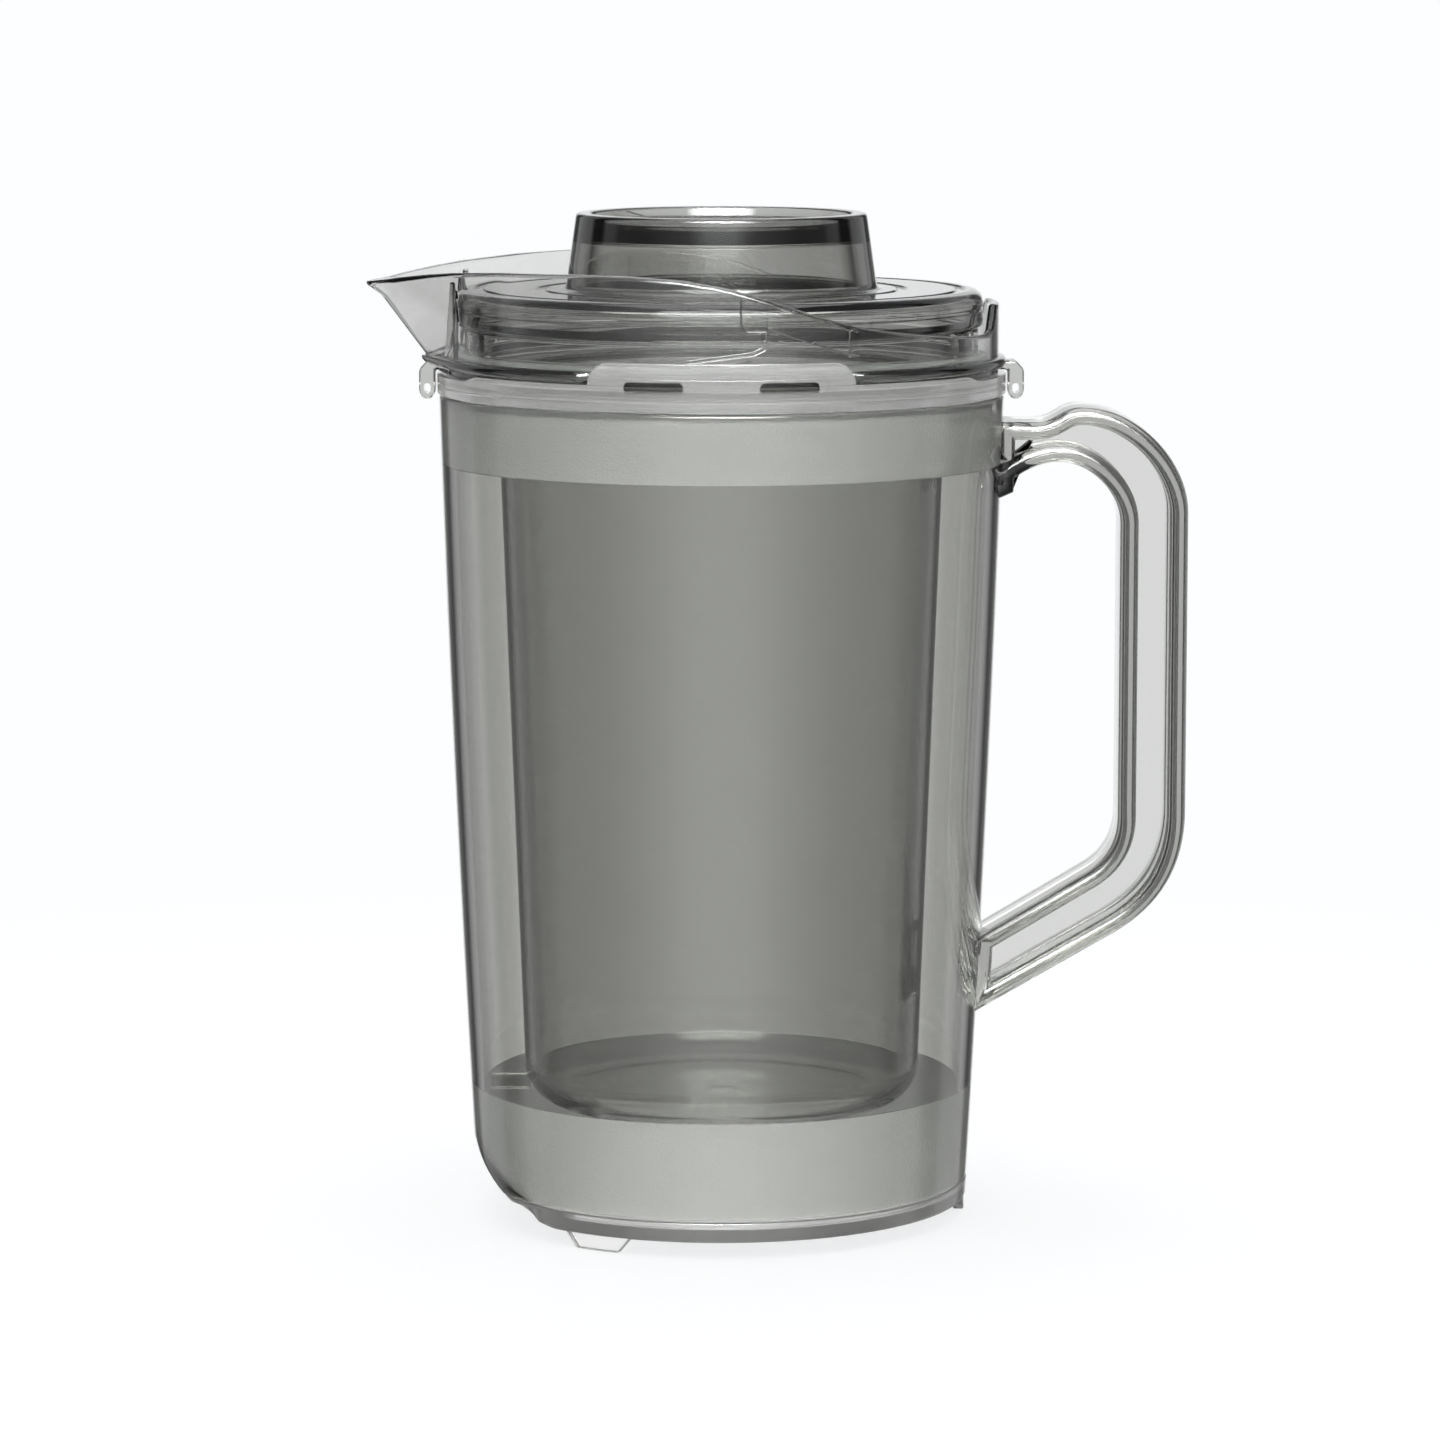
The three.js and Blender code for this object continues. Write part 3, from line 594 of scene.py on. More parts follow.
def cupPath():
    c = cup
    wall = c["wall"]
    foot = c["footRadius"]
    bore = c["mouthRadius"] - wall
    gate = c["floor"] + c["gateDepth"]
    return roundCorners([
        (0, gate, 0), (c["gateRadius"], gate, 0.2), (c["gateRadius"] + c["gateSlope"], c["floor"], 0.2),
        (foot, c["floor"], c["corner"]), (c["mouthRadius"], c["flangeBottom"], 1.2),
        (c["flangeRadius"], c["flangeBottom"], 0.4), (c["flangeRadius"], c["flangeTop"], 0.4),
        (bore, c["flangeTop"], 0.8), (foot - wall, c["floor"] + wall, c["corner"] - wall),
        (0, c["floor"] + wall, 0)], arcSteps=8, closed=False)


def makeCup():
    c = cup
    piece = turnProfile("innerCup", cupPath(), steps=shell["steps"], closed=False)
    start = c["footRadius"] - c["lugStart"]
    path = roundCorners([
        (-start, c["lugBottom"], 0), (-start, c["lugTop"], 0),
        (-c["lugReach"], c["lugTop"], 0.8), (-c["lugReach"], c["lugBottom"], 0.5)])
    lug = drawPlate("lug", path, c["lugWidth"])
    bevelEdges(lug, c["lugEdge"], segments=3)
    combine(piece, lug, "UNION")
    smooth(piece)
    finishPiece(piece, "jug", "inner_vessel", clearPlastic("smokyCup"))


makeCup()


# Rim clamp: the pale band at the mouth with two upright slotted tabs

clamp = {
    "bottom": 191.5, "top": 196.2, "radius": 66.8, "skirt": 1.3, "plateBottom": 194.0, "bore": 54.0,
    "grooveRise": 2.1, "groove": 0.25, "tabBottom": 192.2, "tabTop": 202.8, "tabHalf": 30.3, "tabCorner": 5,
    "tabFace": 66.95, "tabInner": 65.75, "tabEdge": 0.3, "tabSlice": 2, "ledgeRise": 0.6, "ledgeTop": 199.3,
    "ledgeHalf": 24.4, "ledgeCorner": 2, "ledgeFace": 67.6, "ledgeBack": 0.3, "ledgeEdge": 0.35,
    "slotBottom": 195.9, "slotTop": 198.6, "slotNear": 8.6, "slotFar": 22.0, "slotFloor": -0.5, "slotCut": 8,
    "slotCorner": 1.1, "lipTop": 197.6, "lipInner": 65.55, "lipHalf": 56, "lipBlend": 4, "lipLeft": 0.02,
}
clampLook = {"density": 40.0, "gloss": (0.06, 0.1), "milk": 0.22}


def clampPath():
    c = clamp
    outer = c["radius"]
    inner = outer - c["skirt"]
    rise = c["bottom"] + c["grooveRise"]
    groove = c["groove"]
    return roundCorners([
        (inner, c["bottom"], 0.3), (outer, c["bottom"], 0.5), (outer, rise - groove, 0.08),
        (outer - groove, rise, 0.08), (outer, rise + groove, 0.08), (outer, c["lipTop"], 0.4),
        (c["lipInner"], c["lipTop"], 0.3), (c["lipInner"], c["top"], 0.2), (c["bore"], c["top"], 0.5),
        (c["bore"], c["plateBottom"], 0.5), (inner, c["plateBottom"], 0.3)])


def bendOnRim(plate, side):
    sliceAcross(plate, clamp["tabSlice"])

    def bent(x, y, z):
        reach = clamp["tabInner"] + y
        return Vector((x, side * math.sqrt(reach ** 2 - x ** 2), z))

    reshape(plate, bent)
    return plate


def makeTab(side):
    c = clamp
    half, low, high = c["tabHalf"], c["tabBottom"], c["tabTop"]
    corner = c["tabCorner"]
    panel = roundCorners(
        [(-half, low, 0.3), (half, low, 0.3), (half, high, corner), (-half, high, corner)], arcSteps=8)
    depth = c["tabFace"] - c["tabInner"]
    tab = drawPlate("tab", panel, depth, depth / 2)
    bevelEdges(tab, c["tabEdge"], segments=3)
    half, low, high = c["ledgeHalf"], c["tabBottom"] + c["ledgeRise"], c["ledgeTop"]
    corner = c["ledgeCorner"]
    edge = roundCorners(
        [(-half, low, 0.3), (half, low, 0.3), (half, high, corner), (-half, high, corner)], arcSteps=5)
    thick = c["ledgeFace"] - c["tabInner"]
    ledge = drawPlate("ledge", edge, thick - c["ledgeBack"], (thick + c["ledgeBack"]) / 2)
    bevelEdges(ledge, c["ledgeEdge"], segments=3)
    combine(tab, ledge, "UNION")
    return bendOnRim(tab, side)


def makeSlot(sign, side):
    c = clamp
    near, far = sign * c["slotNear"], sign * c["slotFar"]
    low, high, corner = c["slotBottom"], c["slotTop"], c["slotCorner"]
    path = roundCorners([(near, low, corner), (far, low, corner), (far, high, corner), (near, high, corner)])
    return bendOnRim(drawPlate("slot", path, c["slotCut"], c["slotCut"] / 2 + c["slotFloor"]), side)


def lipPlace(x, y, z):
    # the lip sinks towards the spout and the handle, where the clips pass
    c = clamp
    if z > c["top"]:
        left = max(1 - ease((abs(x) - c["lipHalf"]) / c["lipBlend"]), c["lipLeft"])
        z = c["top"] + (z - c["top"]) * left
    return Vector((x, y, z))


def makeClamp():
    piece = turnProfile("rimClamp", clampPath(), steps=shell["steps"])
    reshape(piece, lipPlace)
    for side in (-1, 1):
        combine(piece, makeTab(side), "UNION")
        for sign in (-1, 1):
            combine(piece, makeSlot(sign, side), "DIFFERENCE")
    smooth(piece)
    finishPiece(piece, "jug", "rim_ring", clearPlastic("paleRim", **clampLook))


makeClamp()


# Pouring collar: one turned section whose wall is drawn out into the spout

collar = {
    "radius": 65.2, "wall": 2.1, "bottom": 196.5, "floorTop": 198.5, "top": 222.2, "tipRadius": 5.0,
    "keelFoot": 1.3, "reach": 16.2, "tipRise": 20.1, "bore": 46.4, "spigot": 48.6, "spigotBottom": 186.5,
    "beadBottom": 197.8, "beadTop": 200.4, "beadProud": 1.7, "beadGap": 31.5, "levelBelow": 201.0,
    "beadBlend": 0.6, "edgeZone": 2.2, "columns": 264, "crowding": 1.5, "lip": 1.6, "lipAngle": 5.0, "lipBlend": 0.5,
    "tabTop": 212.9, "tabHalf": 13.0, "tabFlare": 9.0, "backTop": 206.3, "firstTop": 216.0, "topPasses": 6,
    "drawnBand": 4.2, "underStart": 4, "floorSplit": 4.3, "underEnd": 4.6, "grooveDepth": 1.2, "grooveLow": 0.6,
    "grooveHigh": 4.2, "levels": [201.6, 204, 207, 210, 213, 216, 218.5], "halvings": 34, "density": 165.0,
    "topLine": [
        (-86, 216.4), (-80, 217.9), (-75, 219.0), (-68, 220.2), (-61.6, 221.0), (-50, 221.8), (-33.5, 222.2),
        (-20, 222.1), (-9, 221.3), (0, 219.8), (5, 218.5), (10, 217.0), (20, 213.7), (27, 211.4), (31, 210.3),
        (40, 208.8), (50, 207.4), (59, 206.5), (70, 206.3)],
}


def heightOn(line, across):
    for low, high in zip(line, line[1:]):
        if across <= high[0]:
            return low[1] + (high[1] - low[1]) * (across - low[0]) / (high[0] - low[0])
    return line[-1][1]


def collarEdge(x, y):
    # top of the wall: the falling edge, and the thumb tab at the handle
    c = collar
    edge = heightOn(c["topLine"], x)
    over = abs(y) - c["tabHalf"]
    if x > 0 and over < c["tabFlare"]:
        share = 1 - math.sqrt(max(over, 0) / c["tabFlare"])
        edge = max(edge, c["backTop"] + (c["tabTop"] - c["backTop"]) * share ** 2)
    return edge


def reachAt(height):
    c = collar
    return c["keelFoot"] + (c["reach"] - c["keelFoot"]) * (height - c["bottom"]) / c["tipRise"]


def spoutDistance(inset, reach, angle):
    # from the axis to a circle that is drawn out to a round tip, at an angle from the tip
    radius = collar["radius"] - inset
    tip = collar["tipRadius"] - inset
    centre = radius + reach - tip
    tangent = math.acos((radius - tip) / centre)
    if angle >= tangent:
        return radius
    if angle >= math.atan2(tip * math.sin(tangent), centre + tip * math.cos(tangent)):
        return radius / math.cos(tangent - angle)
    return centre * math.cos(angle) + math.sqrt(max(tip ** 2 - (centre * math.sin(angle)) ** 2, 0))


def columnTop(angle):
    inset = collar["wall"] / 2
    top = collar["firstTop"]
    for k in range(collar["topPasses"]):
        distance = spoutDistance(inset, reachAt(top), angle)
        top = collarEdge(-distance * math.cos(angle), distance * math.sin(angle))
    return top


def collarPath():
    c = collar
    outer = c["radius"]
    inner = outer - c["wall"]
    bead = outer + c["beadProud"]
    levels = c["levels"]
    outside = roundCorners([
        (outer - c["underStart"], c["bottom"], 0), (outer, c["bottom"], 0.3), (outer, c["beadBottom"], 0.2),
        (bead, c["beadBottom"], 1.25), (bead, c["beadTop"], 1.25), (outer, c["beadTop"], 0.2),
        (outer, levels[0], 0)], arcSteps=5, closed=False, hold=0.1)
    rim = roundCorners([
        (outer, levels[-1], 0), (outer, c["top"], 0.9), (inner, c["top"], 0.9), (inner, levels[-1], 0)],
        arcSteps=5, closed=False, hold=0.1)
    groove = c["spigot"] - c["grooveDepth"]
    low = c["spigotBottom"]
    grooveLow, grooveHigh = low + c["grooveLow"], low + c["grooveHigh"]
    inside = roundCorners([
        (inner, levels[0], 0), (inner, c["floorTop"], 1.0), (outer - c["floorSplit"], c["floorTop"], 0),
        (c["bore"], c["floorTop"], 0.7), (c["bore"], low, 0.4), (c["spigot"], low, 0.25),
        (c["spigot"], grooveLow, 0.1), (groove, grooveLow, 0.2), (groove, grooveHigh, 0.2),
        (c["spigot"], grooveHigh, 0.3), (c["spigot"], c["bottom"], 0.5),
        (outer - c["underEnd"], c["bottom"], 0)], closed=False, hold=0.1)
    wallUp = [at(outer, z) for z in levels[1:]]
    wallDown = [at(inner, z) for z in reversed(levels[1:])]
    return outside + wallUp + rim[1:-1] + wallDown + inside


def collarPlace(x, y, z):
    c = collar
    radius = math.hypot(x, y)
    angle = math.pi * ((math.pi - abs(math.atan2(y, x))) / math.pi) ** c["crowding"]
    side = -1 if y < 0 else 1
    inset = c["radius"] - radius
    distance = radius
    if inset < c["drawnBand"]:
        top = columnTop(angle)
        lip = 0
        edgeBottom = c["top"] - c["edgeZone"]
        if z > edgeBottom:
            lip = c["lip"] * (1 - ease(math.degrees(angle) / c["lipAngle"])) * ease((z - edgeBottom) / c["lipBlend"])
            z = top - (c["top"] - z)
        elif z > c["levelBelow"]:
            share = (z - c["levelBelow"]) / (edgeBottom - c["levelBelow"])
            z = c["levelBelow"] + share * (top - c["edgeZone"] - c["levelBelow"])
        if inset < 0:
            away = abs(radius * math.cos(angle)) - c["beadGap"]
            inset *= ease((away + c["beadBlend"]) / (2 * c["beadBlend"]))
        distance = spoutDistance(inset, reachAt(z) + lip, angle)
    return Vector((-distance * math.cos(angle), side * distance * math.sin(angle), z))


def wallAcross(x, z, inset):
    # how far from the middle plane the wall is at a place in side view
    low, high = 0.0, math.pi
    reach = reachAt(z)
    for k in range(collar["halvings"]):
        angle = (low + high) / 2
        if -spoutDistance(inset, reach, angle) * math.cos(angle) < x:
            low = angle
        else:
            high = angle
    return spoutDistance(inset, reach, low) * math.sin(low)


# Ramps, stops and ribs on the inside of the collar's wall: side in Y, height above the wall, outline in side view

ramps = {
    "camStrip": (-1, 0.9, [(9.6, 210.4), (28.8, 203.9), (28.8, 210.0), (9.6, 216.1)]),
    "camStop": (-1, 1.2, [(5.6, 209.6), (10.2, 209.6), (10.2, 216.0), (4.2, 217.6), (4.2, 211.0)]),
    "camEnd": (-1, 1.2, [(28.2, 203.6), (30.6, 203.6), (30.6, 209.2), (28.2, 209.8)]),
    "camLine": (-1, 0.7, [
        (-7.8, 202.4), (7.2, 204.3), (9.7, 205.5), (10.7, 207.2), (11.0, 211), (10.0, 211), (9.75, 207.6),
        (8.9, 206.3), (6.9, 205.3), (-7.8, 203.3)]),
    "camWedge": (-1, 0.7, [(-1.7, 201.9), (7.0, 201.9), (6.6, 203.6)]),
    "farPanel": (1, 0.9, [(-26.6, 214.5), (-4.6, 214.5), (-4.6, 219.0), (-26.6, 220.9)]),
    "nearRib": (-1, 1.3, [(-63.2, 199.6), (-59.6, 199.6), (-60.5, 219.0), (-61.7, 219.0)]),
    "farRib": (1, 1.3, [(-63.2, 199.6), (-59.6, 199.6), (-60.5, 219.0), (-61.7, 219.0)]),
}
rampEdge = {"rounding": 0.42, "thinRounding": 0.25, "thin": 0.7, "sink": 0.7, "angle": 30, "slice": 1.5}


def makeRamp(name):
    # a plate with round edges, bent onto the wall
    side, proud, corners = ramps[name]
    sink = rampEdge["sink"]
    rounding = rampEdge["thinRounding"] if proud <= rampEdge["thin"] else rampEdge["rounding"]
    plate = drawPlate(name, [at(*corner) for corner in corners], proud + sink)
    bevelEdges(plate, rounding, segments=3, angle=rampEdge["angle"])
    sliceAcross(plate, rampEdge["slice"])

    def bent(x, y, z):
        depth = y + (proud - sink) / 2
        return Vector((x, side * wallAcross(x, z, collar["wall"] + depth), z))

    reshape(plate, bent)
    return plate


clip = {
    "start": 1, "near": 67.1, "far": 71.0, "top": 199.2, "under": 197.0, "bottom": 190.1, "cut": 1.1, "toe": 1.5,
    "shoulder": (2, 2.2), "width": 7, "rounding": 0.75, "angle": 25, "eyeHalf": 0.8, "eyeBottom": 191.4,
    "eyeTop": 193.8, "eyeCorner": 0.75, "eyeHold": 0.02, "eyeCut": 12,
}


def makeClip(sign):
    c = clip
    start = collar["radius"] - c["start"]
    near, far, low, cut, toe = (c[key] for key in ("near", "far", "bottom", "cut", "toe"))
    back, drop = c["shoulder"]
    corners = [
        (start, c["under"]), (start, c["top"]), (far - back, c["top"]), (far, c["top"] - drop), (far, low + toe),
        (far - cut, low), (near + cut, low), (near, low + toe), (near, c["under"])]
    piece = drawPlate("clip", [at(sign * across, up) for across, up in corners], c["width"])
    bevelEdges(piece, c["rounding"], segments=4, angle=c["angle"])
    middle = (near + far) / 2
    left, right = (sign * (middle + k * c["eyeHalf"]) for k in (-1, 1))
    low, high, corner = c["eyeBottom"], c["eyeTop"], c["eyeCorner"]
    eye = roundCorners(
        [(left, low, corner), (right, low, corner), (right, high, corner), (left, high, corner)],
        arcSteps=5, hold=c["eyeHold"])
    combine(piece, drawPlate("eye", eye, c["eyeCut"]), "DIFFERENCE")
    return piece


def makeCollar():
    piece = turnProfile("pourCollar", collarPath(), steps=collar["columns"])
    reshape(piece, collarPlace)
    fittings = makeClip(-1)
    combine(fittings, makeClip(1), "UNION")
    for plate in [makeRamp(name) for name in ramps]:
        combine(fittings, plate, "UNION")
    combine(piece, fittings, "UNION")
    smooth(piece)
    material = clearPlastic("smokyCollar", density=collar["density"])
    finishPiece(piece, "collar", "pour_collar", material)


makeCollar()


# Lid: a disc with a hollow knob, over a skirted insert

lid = {
    "radius": 61.4, "bottom": 207.2, "top": 215.9, "edge": 2.8, "bore": 59.0, "plate": 2.4,
    "knobBase": 36.6, "knobTop": 34.1, "knobHeight": 17.7, "knobWall": 3.3, "dishTop": 230.1, "dishBottom": 227.4,
    "stepInner": (3.6, 3.0), "stepOuter": 0.6, "stepHeight": 1.1, "innerGroove": (41.0, 41.4, 43.4, 43.8, 0.45),
    "outerGroove": (54.8, 55.2, 57.0, 57.4, 0.5), "seam": (212.0, 211.7, 211.2, 210.9), "seamDepth": 0.3,
    "density": 330.0,
}


def knobRadius(height):
    rate = (lid["knobBase"] - lid["knobTop"]) / lid["knobHeight"]
    return lid["knobTop"] + rate * (lid["top"] + lid["knobHeight"] - height)


def topGroove(values):
    start, wallIn, wallOut, end, depth = values
    top = lid["top"]
    return [(start, top, 0.25), (wallIn, top - depth, 0.25), (wallOut, top - depth, 0.25), (end, top, 0.25)]


def lidPath():
    d = lid
    crown = d["top"] + d["knobHeight"]
    under = d["top"] - d["plate"]
    edge = d["radius"]
    rim = d["knobTop"] - d["knobWall"]
    low, high = d["stepInner"]
    step = d["dishTop"] + d["stepHeight"]
    knob = [
        (0, d["dishTop"], 0), (rim - low, d["dishTop"], 0.4), (rim - high, step, 0.4),
        (rim - d["stepOuter"], step, 0.5), (rim, crown, 0.7), (d["knobTop"], crown, 0.9),
        (d["knobBase"], d["top"], 1.6)]
    inset = edge - d["seamDepth"]
    seam = [(across, up, 0.1) for across, up in zip((edge, inset, inset, edge), d["seam"])]
    below = [
        (edge, d["bottom"], 1.1), (d["bore"], d["bottom"], 0.4), (d["bore"], under, 1.0),
        (knobRadius(under) - d["knobWall"], under, 0.9),
        (knobRadius(d["dishBottom"]) - d["knobWall"], d["dishBottom"], 1.0), (0, d["dishBottom"], 0)]
    grooves = topGroove(d["innerGroove"]) + topGroove(d["outerGroove"])
    corners = knob + grooves + [(edge, d["top"], d["edge"])] + seam + below
    return roundCorners(corners, closed=False, hold=0.15)


def makeLid():
    piece = turnProfile("lidDisc", lidPath(), steps=shell["steps"], closed=False)
    smooth(piece)
    finishPiece(piece, "lid", "lid_cover", clearPlastic("smokyLid", density=lid["density"]))


makeLid()

insert = {
    "radius": 60.3, "bore": 57.3, "bottom": 198.8, "plateBottom": 206.9, "plateTop": 209.2, "plateRadius": 58.7,
    "grooveBottom": 199.4, "grooveTop": 201.7, "groove": 59.1, "lip": 59.9,
    "windowBottom": 202.4, "windowTop": 206.4, "windowAngle": 6.5, "windowCorner": 0.5, "windowCut": 8,
    "pitch": 10.5, "windows": 5, "density": 150.0,
}


def insertPath():
    d = insert
    return roundCorners([
        (0, d["plateTop"], 0), (d["plateRadius"], d["plateTop"], 0.4), (d["plateRadius"], d["plateBottom"], 0.2),
        (d["radius"], d["plateBottom"], 0.3), (d["radius"], d["grooveTop"], 0.2), (d["groove"], d["grooveTop"], 0.2),
        (d["groove"], d["grooveBottom"], 0.2), (d["lip"], d["grooveBottom"], 0.15), (d["lip"], d["bottom"], 0.25),
        (d["bore"], d["bottom"], 0.5), (d["bore"], d["plateBottom"], 0.8), (0, d["plateBottom"], 0)],
        closed=False, hold=0.1)


def makeInsert():
    d = insert
    piece = turnProfile("lidInsert", insertPath(), steps=shell["steps"], closed=False)
    half = d["radius"] * math.sin(math.radians(d["windowAngle"] / 2))
    low, high, corner = d["windowBottom"], d["windowTop"], d["windowCorner"]
    outline = roundCorners([(-half, low, corner), (half, low, corner), (half, high, corner), (-half, high, corner)])
    for k in range(d["windows"]):
        for opposite in (0, 180):
            turn = math.radians((k - (d["windows"] - 1) / 2) * d["pitch"] + opposite + 90)
            window = drawPlate("window", outline, d["windowCut"], -d["radius"])
            reshape(window, lambda x, y, z: Vector((
                x * math.cos(turn) - y * math.sin(turn), x * math.sin(turn) + y * math.cos(turn), z)))
            combine(piece, window, "DIFFERENCE")
    smooth(piece)
    finishPiece(piece, "lid", "lid_plug", clearPlastic("smokyInsert", density=d["density"]))


makeInsert()


# Silicone seals with rounded lips

rubber = {
    "colour": (0.62, 0.64, 0.61, 1), "through": 0.55, "ior": 1.41, "scale": 400, "detail": 2, "gloss": (0.3, 0.45),
}


def silicone(name):
    material, tree, shader = startMaterial(name)
    setInputs(shader, {
        "Base Color": rubber["colour"], "Transmission Weight": rubber["through"], "IOR": rubber["ior"]})
    place = addNode(tree, "ShaderNodeTexCoord", -900, 0).outputs["Object"]
    cloud = noiseNode(tree, -700, 0, place, rubber["scale"], rubber["detail"])
    rough = rangeNode(tree, -400, 0, cloud, *smoke["cloudRange"], *rubber["gloss"])
    tree.links.new(rough, shader.inputs["Roughness"])
    return material


seals = {
    "collarGasket": [
        (47.7, 187.4, 0.3), (48.9, 187.4, 0.3), (49.8, 188.0, 0.25), (49.1, 188.6, 0.25), (49.1, 189.2, 0.25),
        (49.8, 189.8, 0.25), (48.9, 190.4, 0.3), (47.7, 190.4, 0.3)],
    "lidGasket": [
        (59.4, 199.7, 0.3), (61.0, 199.7, 0.3), (62.0, 200.1, 0.2), (62.0, 200.9, 0.2), (61.0, 201.4, 0.3),
        (59.4, 201.4, 0.3)],
}


def makeSeal(name, body, node):
    piece = turnProfile(name, roundCorners(seals[name], arcSteps=3, hold=0.05), steps=160)
    smooth(piece, angle=60)
    finishPiece(piece, body, node, silicone(name + "Silicone"))


makeSeal("collarGasket", "collar", "collar_seal")
makeSeal("lidGasket", "lid_ring", "lid_seal")


# Studio

studio = {
    "camera": (-0.00035, -1.3627, 0.2971), "pitch": 7.67, "lens": 145, "sensor": 36, "farthest": 20,
    "white": (0.982, 0.991, 1.0), "soft": 1.0, "boxes": 8,
    "back": (-0.75, -0.1, 0.14, 1.0), "away": (0.2, 0.6, 1.0, 0.65),
    "front": (0.2, 0.9, 1.25, 0.36), "half": (-0.05, 0.05, 0, 1), "above": (0.5, 0.8, 0, 1), "overhead": 0.35,
    "key": 42.0, "backKey": 1.2, "keyAhead": (-0.6, -0.2), "keyBehind": (0.2, 0.6), "keyBottom": (0.22, 0.42, 0, 1),
    "keyTop": (0.7, 0.8, 1, 0), "keySide": (0.2, 0.55, 1, 0),
}
ground = {
    "height": -0.0035, "size": 12, "colour": (0.95, 0.95, 0.95, 1), "roughness": 0.9, "specular": 0.1,
    "shadowShare": 0.22, "shadowReach": (0.1, 0.5),
}
topSoftbox = {"place": (0, 0.1, 1.3), "target": (0, 0, 0.1), "size": (0.9, 0.9), "power": 6}
lightSteps = {"max_bounces": 40, "transmission_bounces": 40, "transparent_max_bounces": 40, "glossy_bounces": 12}


def makeCamera():
    camera = bpy.data.cameras.new("camera")
    camera.lens = studio["lens"]
    camera.sensor_width = studio["sensor"]
    camera.clip_end = studio["farthest"]
    holder = bpy.data.objects.new("camera", camera)
    bpy.context.scene.collection.objects.link(holder)
    holder.location = studio["camera"]
    holder.rotation_euler = (math.radians(90 - studio["pitch"]), 0, 0)
    bpy.context.scene.camera = holder


def mixNumber(tree, x, y, share, first, second):
    node = addNode(tree, "ShaderNodeMix", x, y, data_type="FLOAT")
    feed(tree, node.inputs[:1] + node.inputs[2:4], (share, first, second))
    return node.outputs[0]


def mixShaders(tree, x, y, share, first, second):
    node = addNode(tree, "ShaderNodeMixShader", x, y)
    feed(tree, node.inputs, (share, first.outputs[0], second.outputs[0]))
    return node


def surroundings(tree, way, x, y):
    # how bright the studio is in a direction: softboxes with dim gaps behind, an even front, and a key on either side
    parts = addNode(tree, "ShaderNodeSeparateXYZ", x, y)
    tree.links.new(way, parts.inputs[0])
    across, along, up = parts.outputs
    turn = numberNode(tree, "ARCTAN2", x + 200, y, across, along)
    around = numberNode(tree, "MULTIPLY", x + 300, y, turn, studio["boxes"])
    boxes = rangeNode(tree, x + 600, y, numberNode(tree, "COSINE", x + 400, y, around), *studio["back"])
    side = numberNode(tree, "ABSOLUTE", x + 400, y - 250, numberNode(tree, "SINE", x + 300, y - 250, turn))
    before = rangeNode(tree, x + 600, y - 250, side, *studio["front"])
    away = rangeNode(tree, x + 600, y + 500, side, *studio["away"])
    behind = numberNode(tree, "MULTIPLY", x + 700, y, boxes, away)
    half = rangeNode(tree, x + 600, y + 250, along, *studio["half"])
    level = mixNumber(tree, x + 800, y, half, before, behind)
    above = rangeNode(tree, x + 800, y + 250, up, *studio["above"])
    base = mixNumber(tree, x + 1000, y, above, level, studio["overhead"])
    ahead = rangeNode(tree, x + 800, y + 750, along, *studio["keyAhead"], studio["key"], 0)
    astern = rangeNode(tree, x + 600, y + 750, along, *studio["keyBehind"], 0, studio["backKey"])
    keys = numberNode(tree, "ADD", x + 1000, y + 750, ahead, astern)
    for step, (value, name) in enumerate([(up, "keyBottom"), (side, "keySide"), (up, "keyTop")]):
        edge = rangeNode(tree, x + 1000, y + 1000 + 250 * step, value, *studio[name])
        keys = numberNode(tree, "MULTIPLY", x + 1200, y + 1000 + 250 * step, keys, edge)
    return numberNode(tree, "ADD", x + 1400, y, base, keys)


def seenThrough(tree, x, y):
    # camera rays, and mirror and see-through rays
    path = addNode(tree, "ShaderNodeLightPath", x, y)
    rays = numberNode(tree, "MAXIMUM", x + 200, y, path.outputs["Is Glossy Ray"], path.outputs["Is Transmission Ray"])
    return path.outputs["Is Camera Ray"], rays


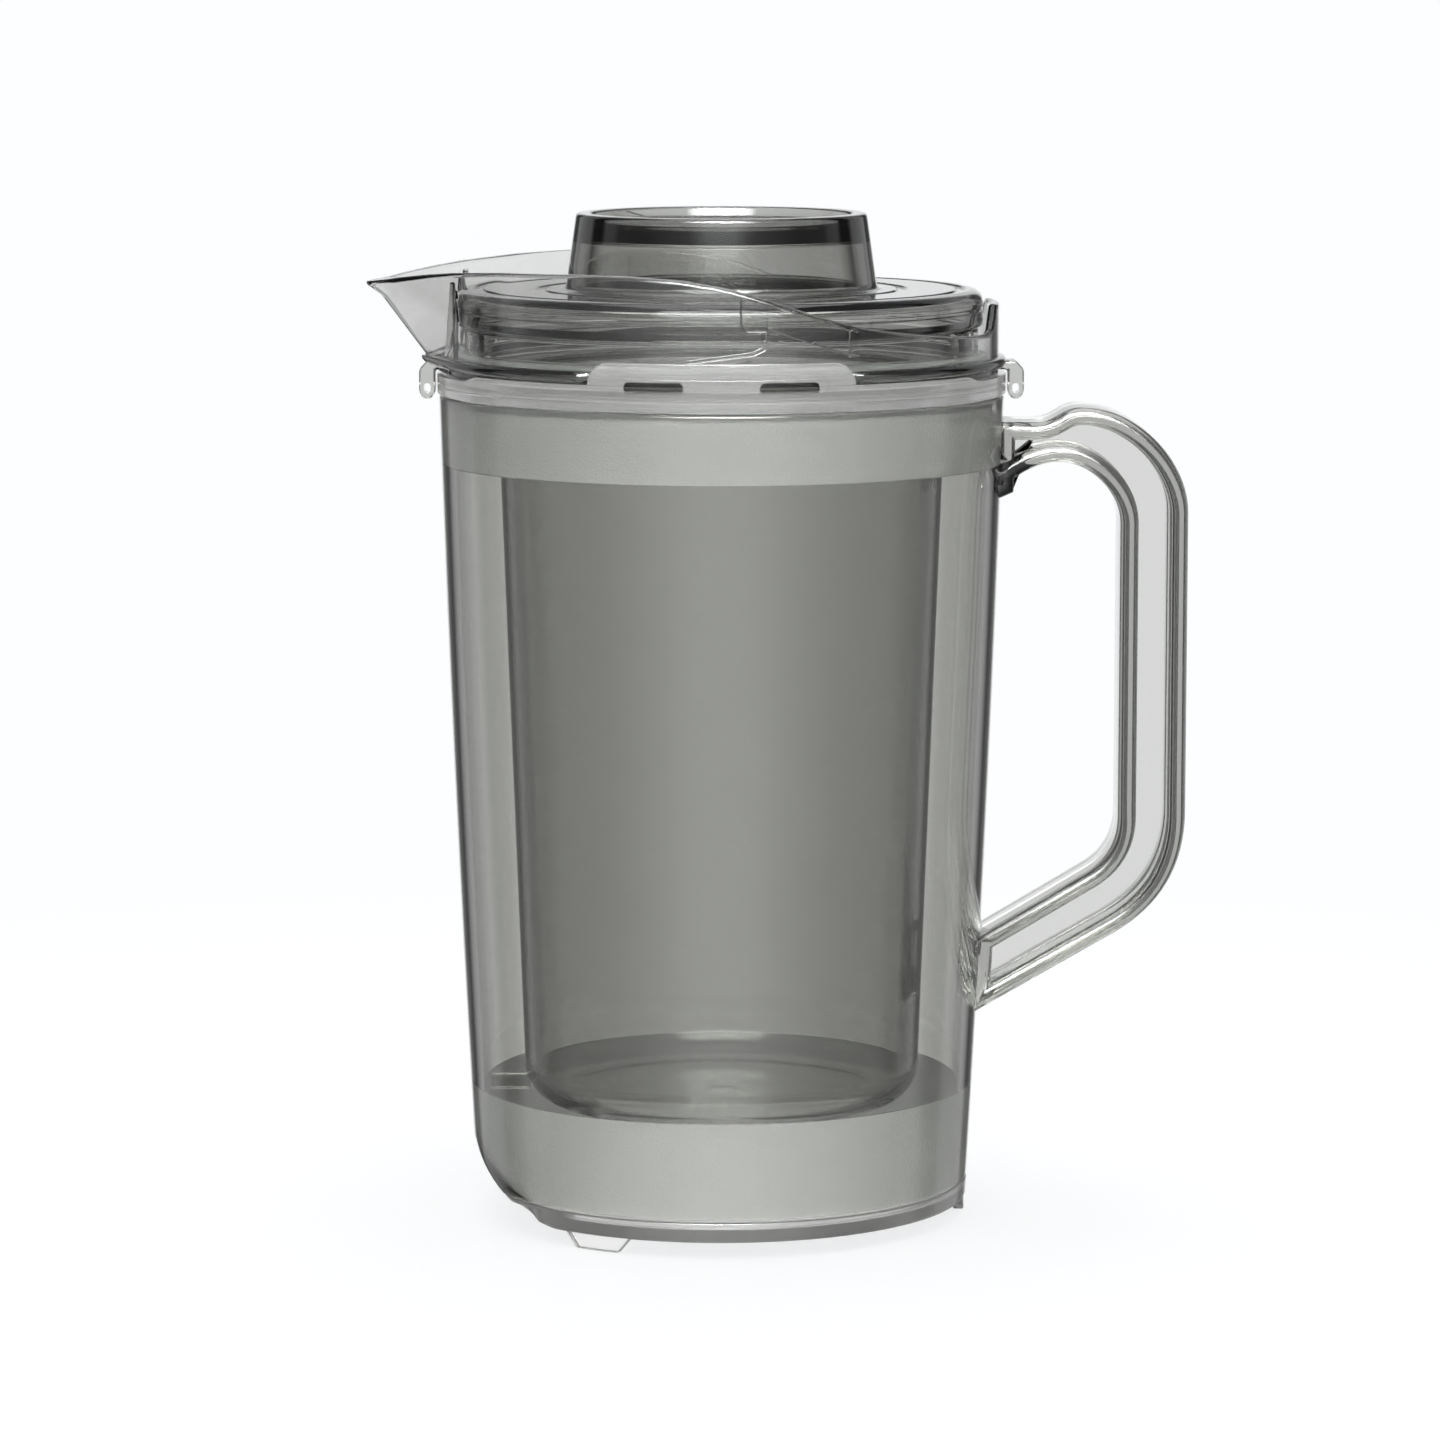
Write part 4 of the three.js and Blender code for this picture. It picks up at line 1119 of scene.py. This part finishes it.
def makeWorld():
    world = bpy.data.worlds.new("studio")
    bpy.context.scene.world = world
    world.use_nodes = True
    tree = world.node_tree
    soft = tree.nodes["Background"]
    setInputs(soft, {"Color": (1, 1, 1, 1), "Strength": studio["soft"]})
    way = addNode(tree, "ShaderNodeTexCoord", -2200, 300).outputs["Generated"]
    camera, rays = seenThrough(tree, -2000, 0)
    seen = numberNode(tree, "MAXIMUM", -1600, 0, camera, rays)
    level = mixNumber(tree, -400, 0, camera, surroundings(tree, way, -2000, 600), 1.0)
    shown = addNode(tree, "ShaderNodeBackground", -200, 200)
    setInputs(shown, {"Color": (*studio["white"], 1)})
    tree.links.new(level, shown.inputs["Strength"])
    mix = mixShaders(tree, 100, 100, seen, soft, shown)
    tree.links.new(mix.outputs[0], tree.nodes["World Output"].inputs["Surface"])


def makeFloor():
    # white to the camera with a share of the shadow; mirror and see-through rays pass it
    objectMode()
    bpy.ops.object.select_all(action="DESELECT")
    bpy.ops.mesh.primitive_plane_add(size=ground["size"], location=(0, 0, ground["height"]))
    floor = bpy.context.object
    floor.name = "floor"
    material, tree, shader = startMaterial("paleFloor")
    setInputs(shader, {
        "Base Color": ground["colour"], "Roughness": ground["roughness"], "Specular IOR Level": ground["specular"]})
    glow = addNode(tree, "ShaderNodeEmission", -200, -300)
    setInputs(glow, {"Color": (*studio["white"], 1)})
    place = addNode(tree, "ShaderNodeTexCoord", -1200, 300)
    distance = addNode(tree, "ShaderNodeVectorMath", -900, 300, operation="LENGTH")
    tree.links.new(place.outputs["Object"], distance.inputs[0])
    share = rangeNode(
        tree, -700, 300, distance.outputs["Value"], *ground["shadowReach"], 1 - ground["shadowShare"], 1)
    camera, rays = seenThrough(tree, -1200, 0)
    shown = numberNode(tree, "MULTIPLY", -300, 100, camera, share)
    mix = mixShaders(tree, 300, 0, shown, shader, glow)
    through = mixShaders(tree, 500, 0, rays, mix, addNode(tree, "ShaderNodeBsdfTransparent", 300, -200))
    tree.links.new(through.outputs[0], tree.nodes["Material Output"].inputs["Surface"])
    floor.data.materials.append(material)


def makeLamp(name, settings):
    lamp = bpy.data.lights.new(name, "AREA")
    lamp.shape = "RECTANGLE"
    lamp.size, lamp.size_y = settings["size"]
    lamp.energy = settings["power"]
    holder = bpy.data.objects.new(name, lamp)
    bpy.context.scene.collection.objects.link(holder)
    holder.location = settings["place"]
    way = Vector(settings["target"]) - Vector(settings["place"])
    holder.rotation_euler = way.to_track_quat("-Z", "Y").to_euler()


makeCamera()
makeWorld()
makeFloor()
makeLamp("topSoftbox", topSoftbox)
print("studio ready")

scene = bpy.context.scene
scene.view_settings.view_transform = "Standard"
for name, count in lightSteps.items():
    setattr(scene.cycles, name, count)
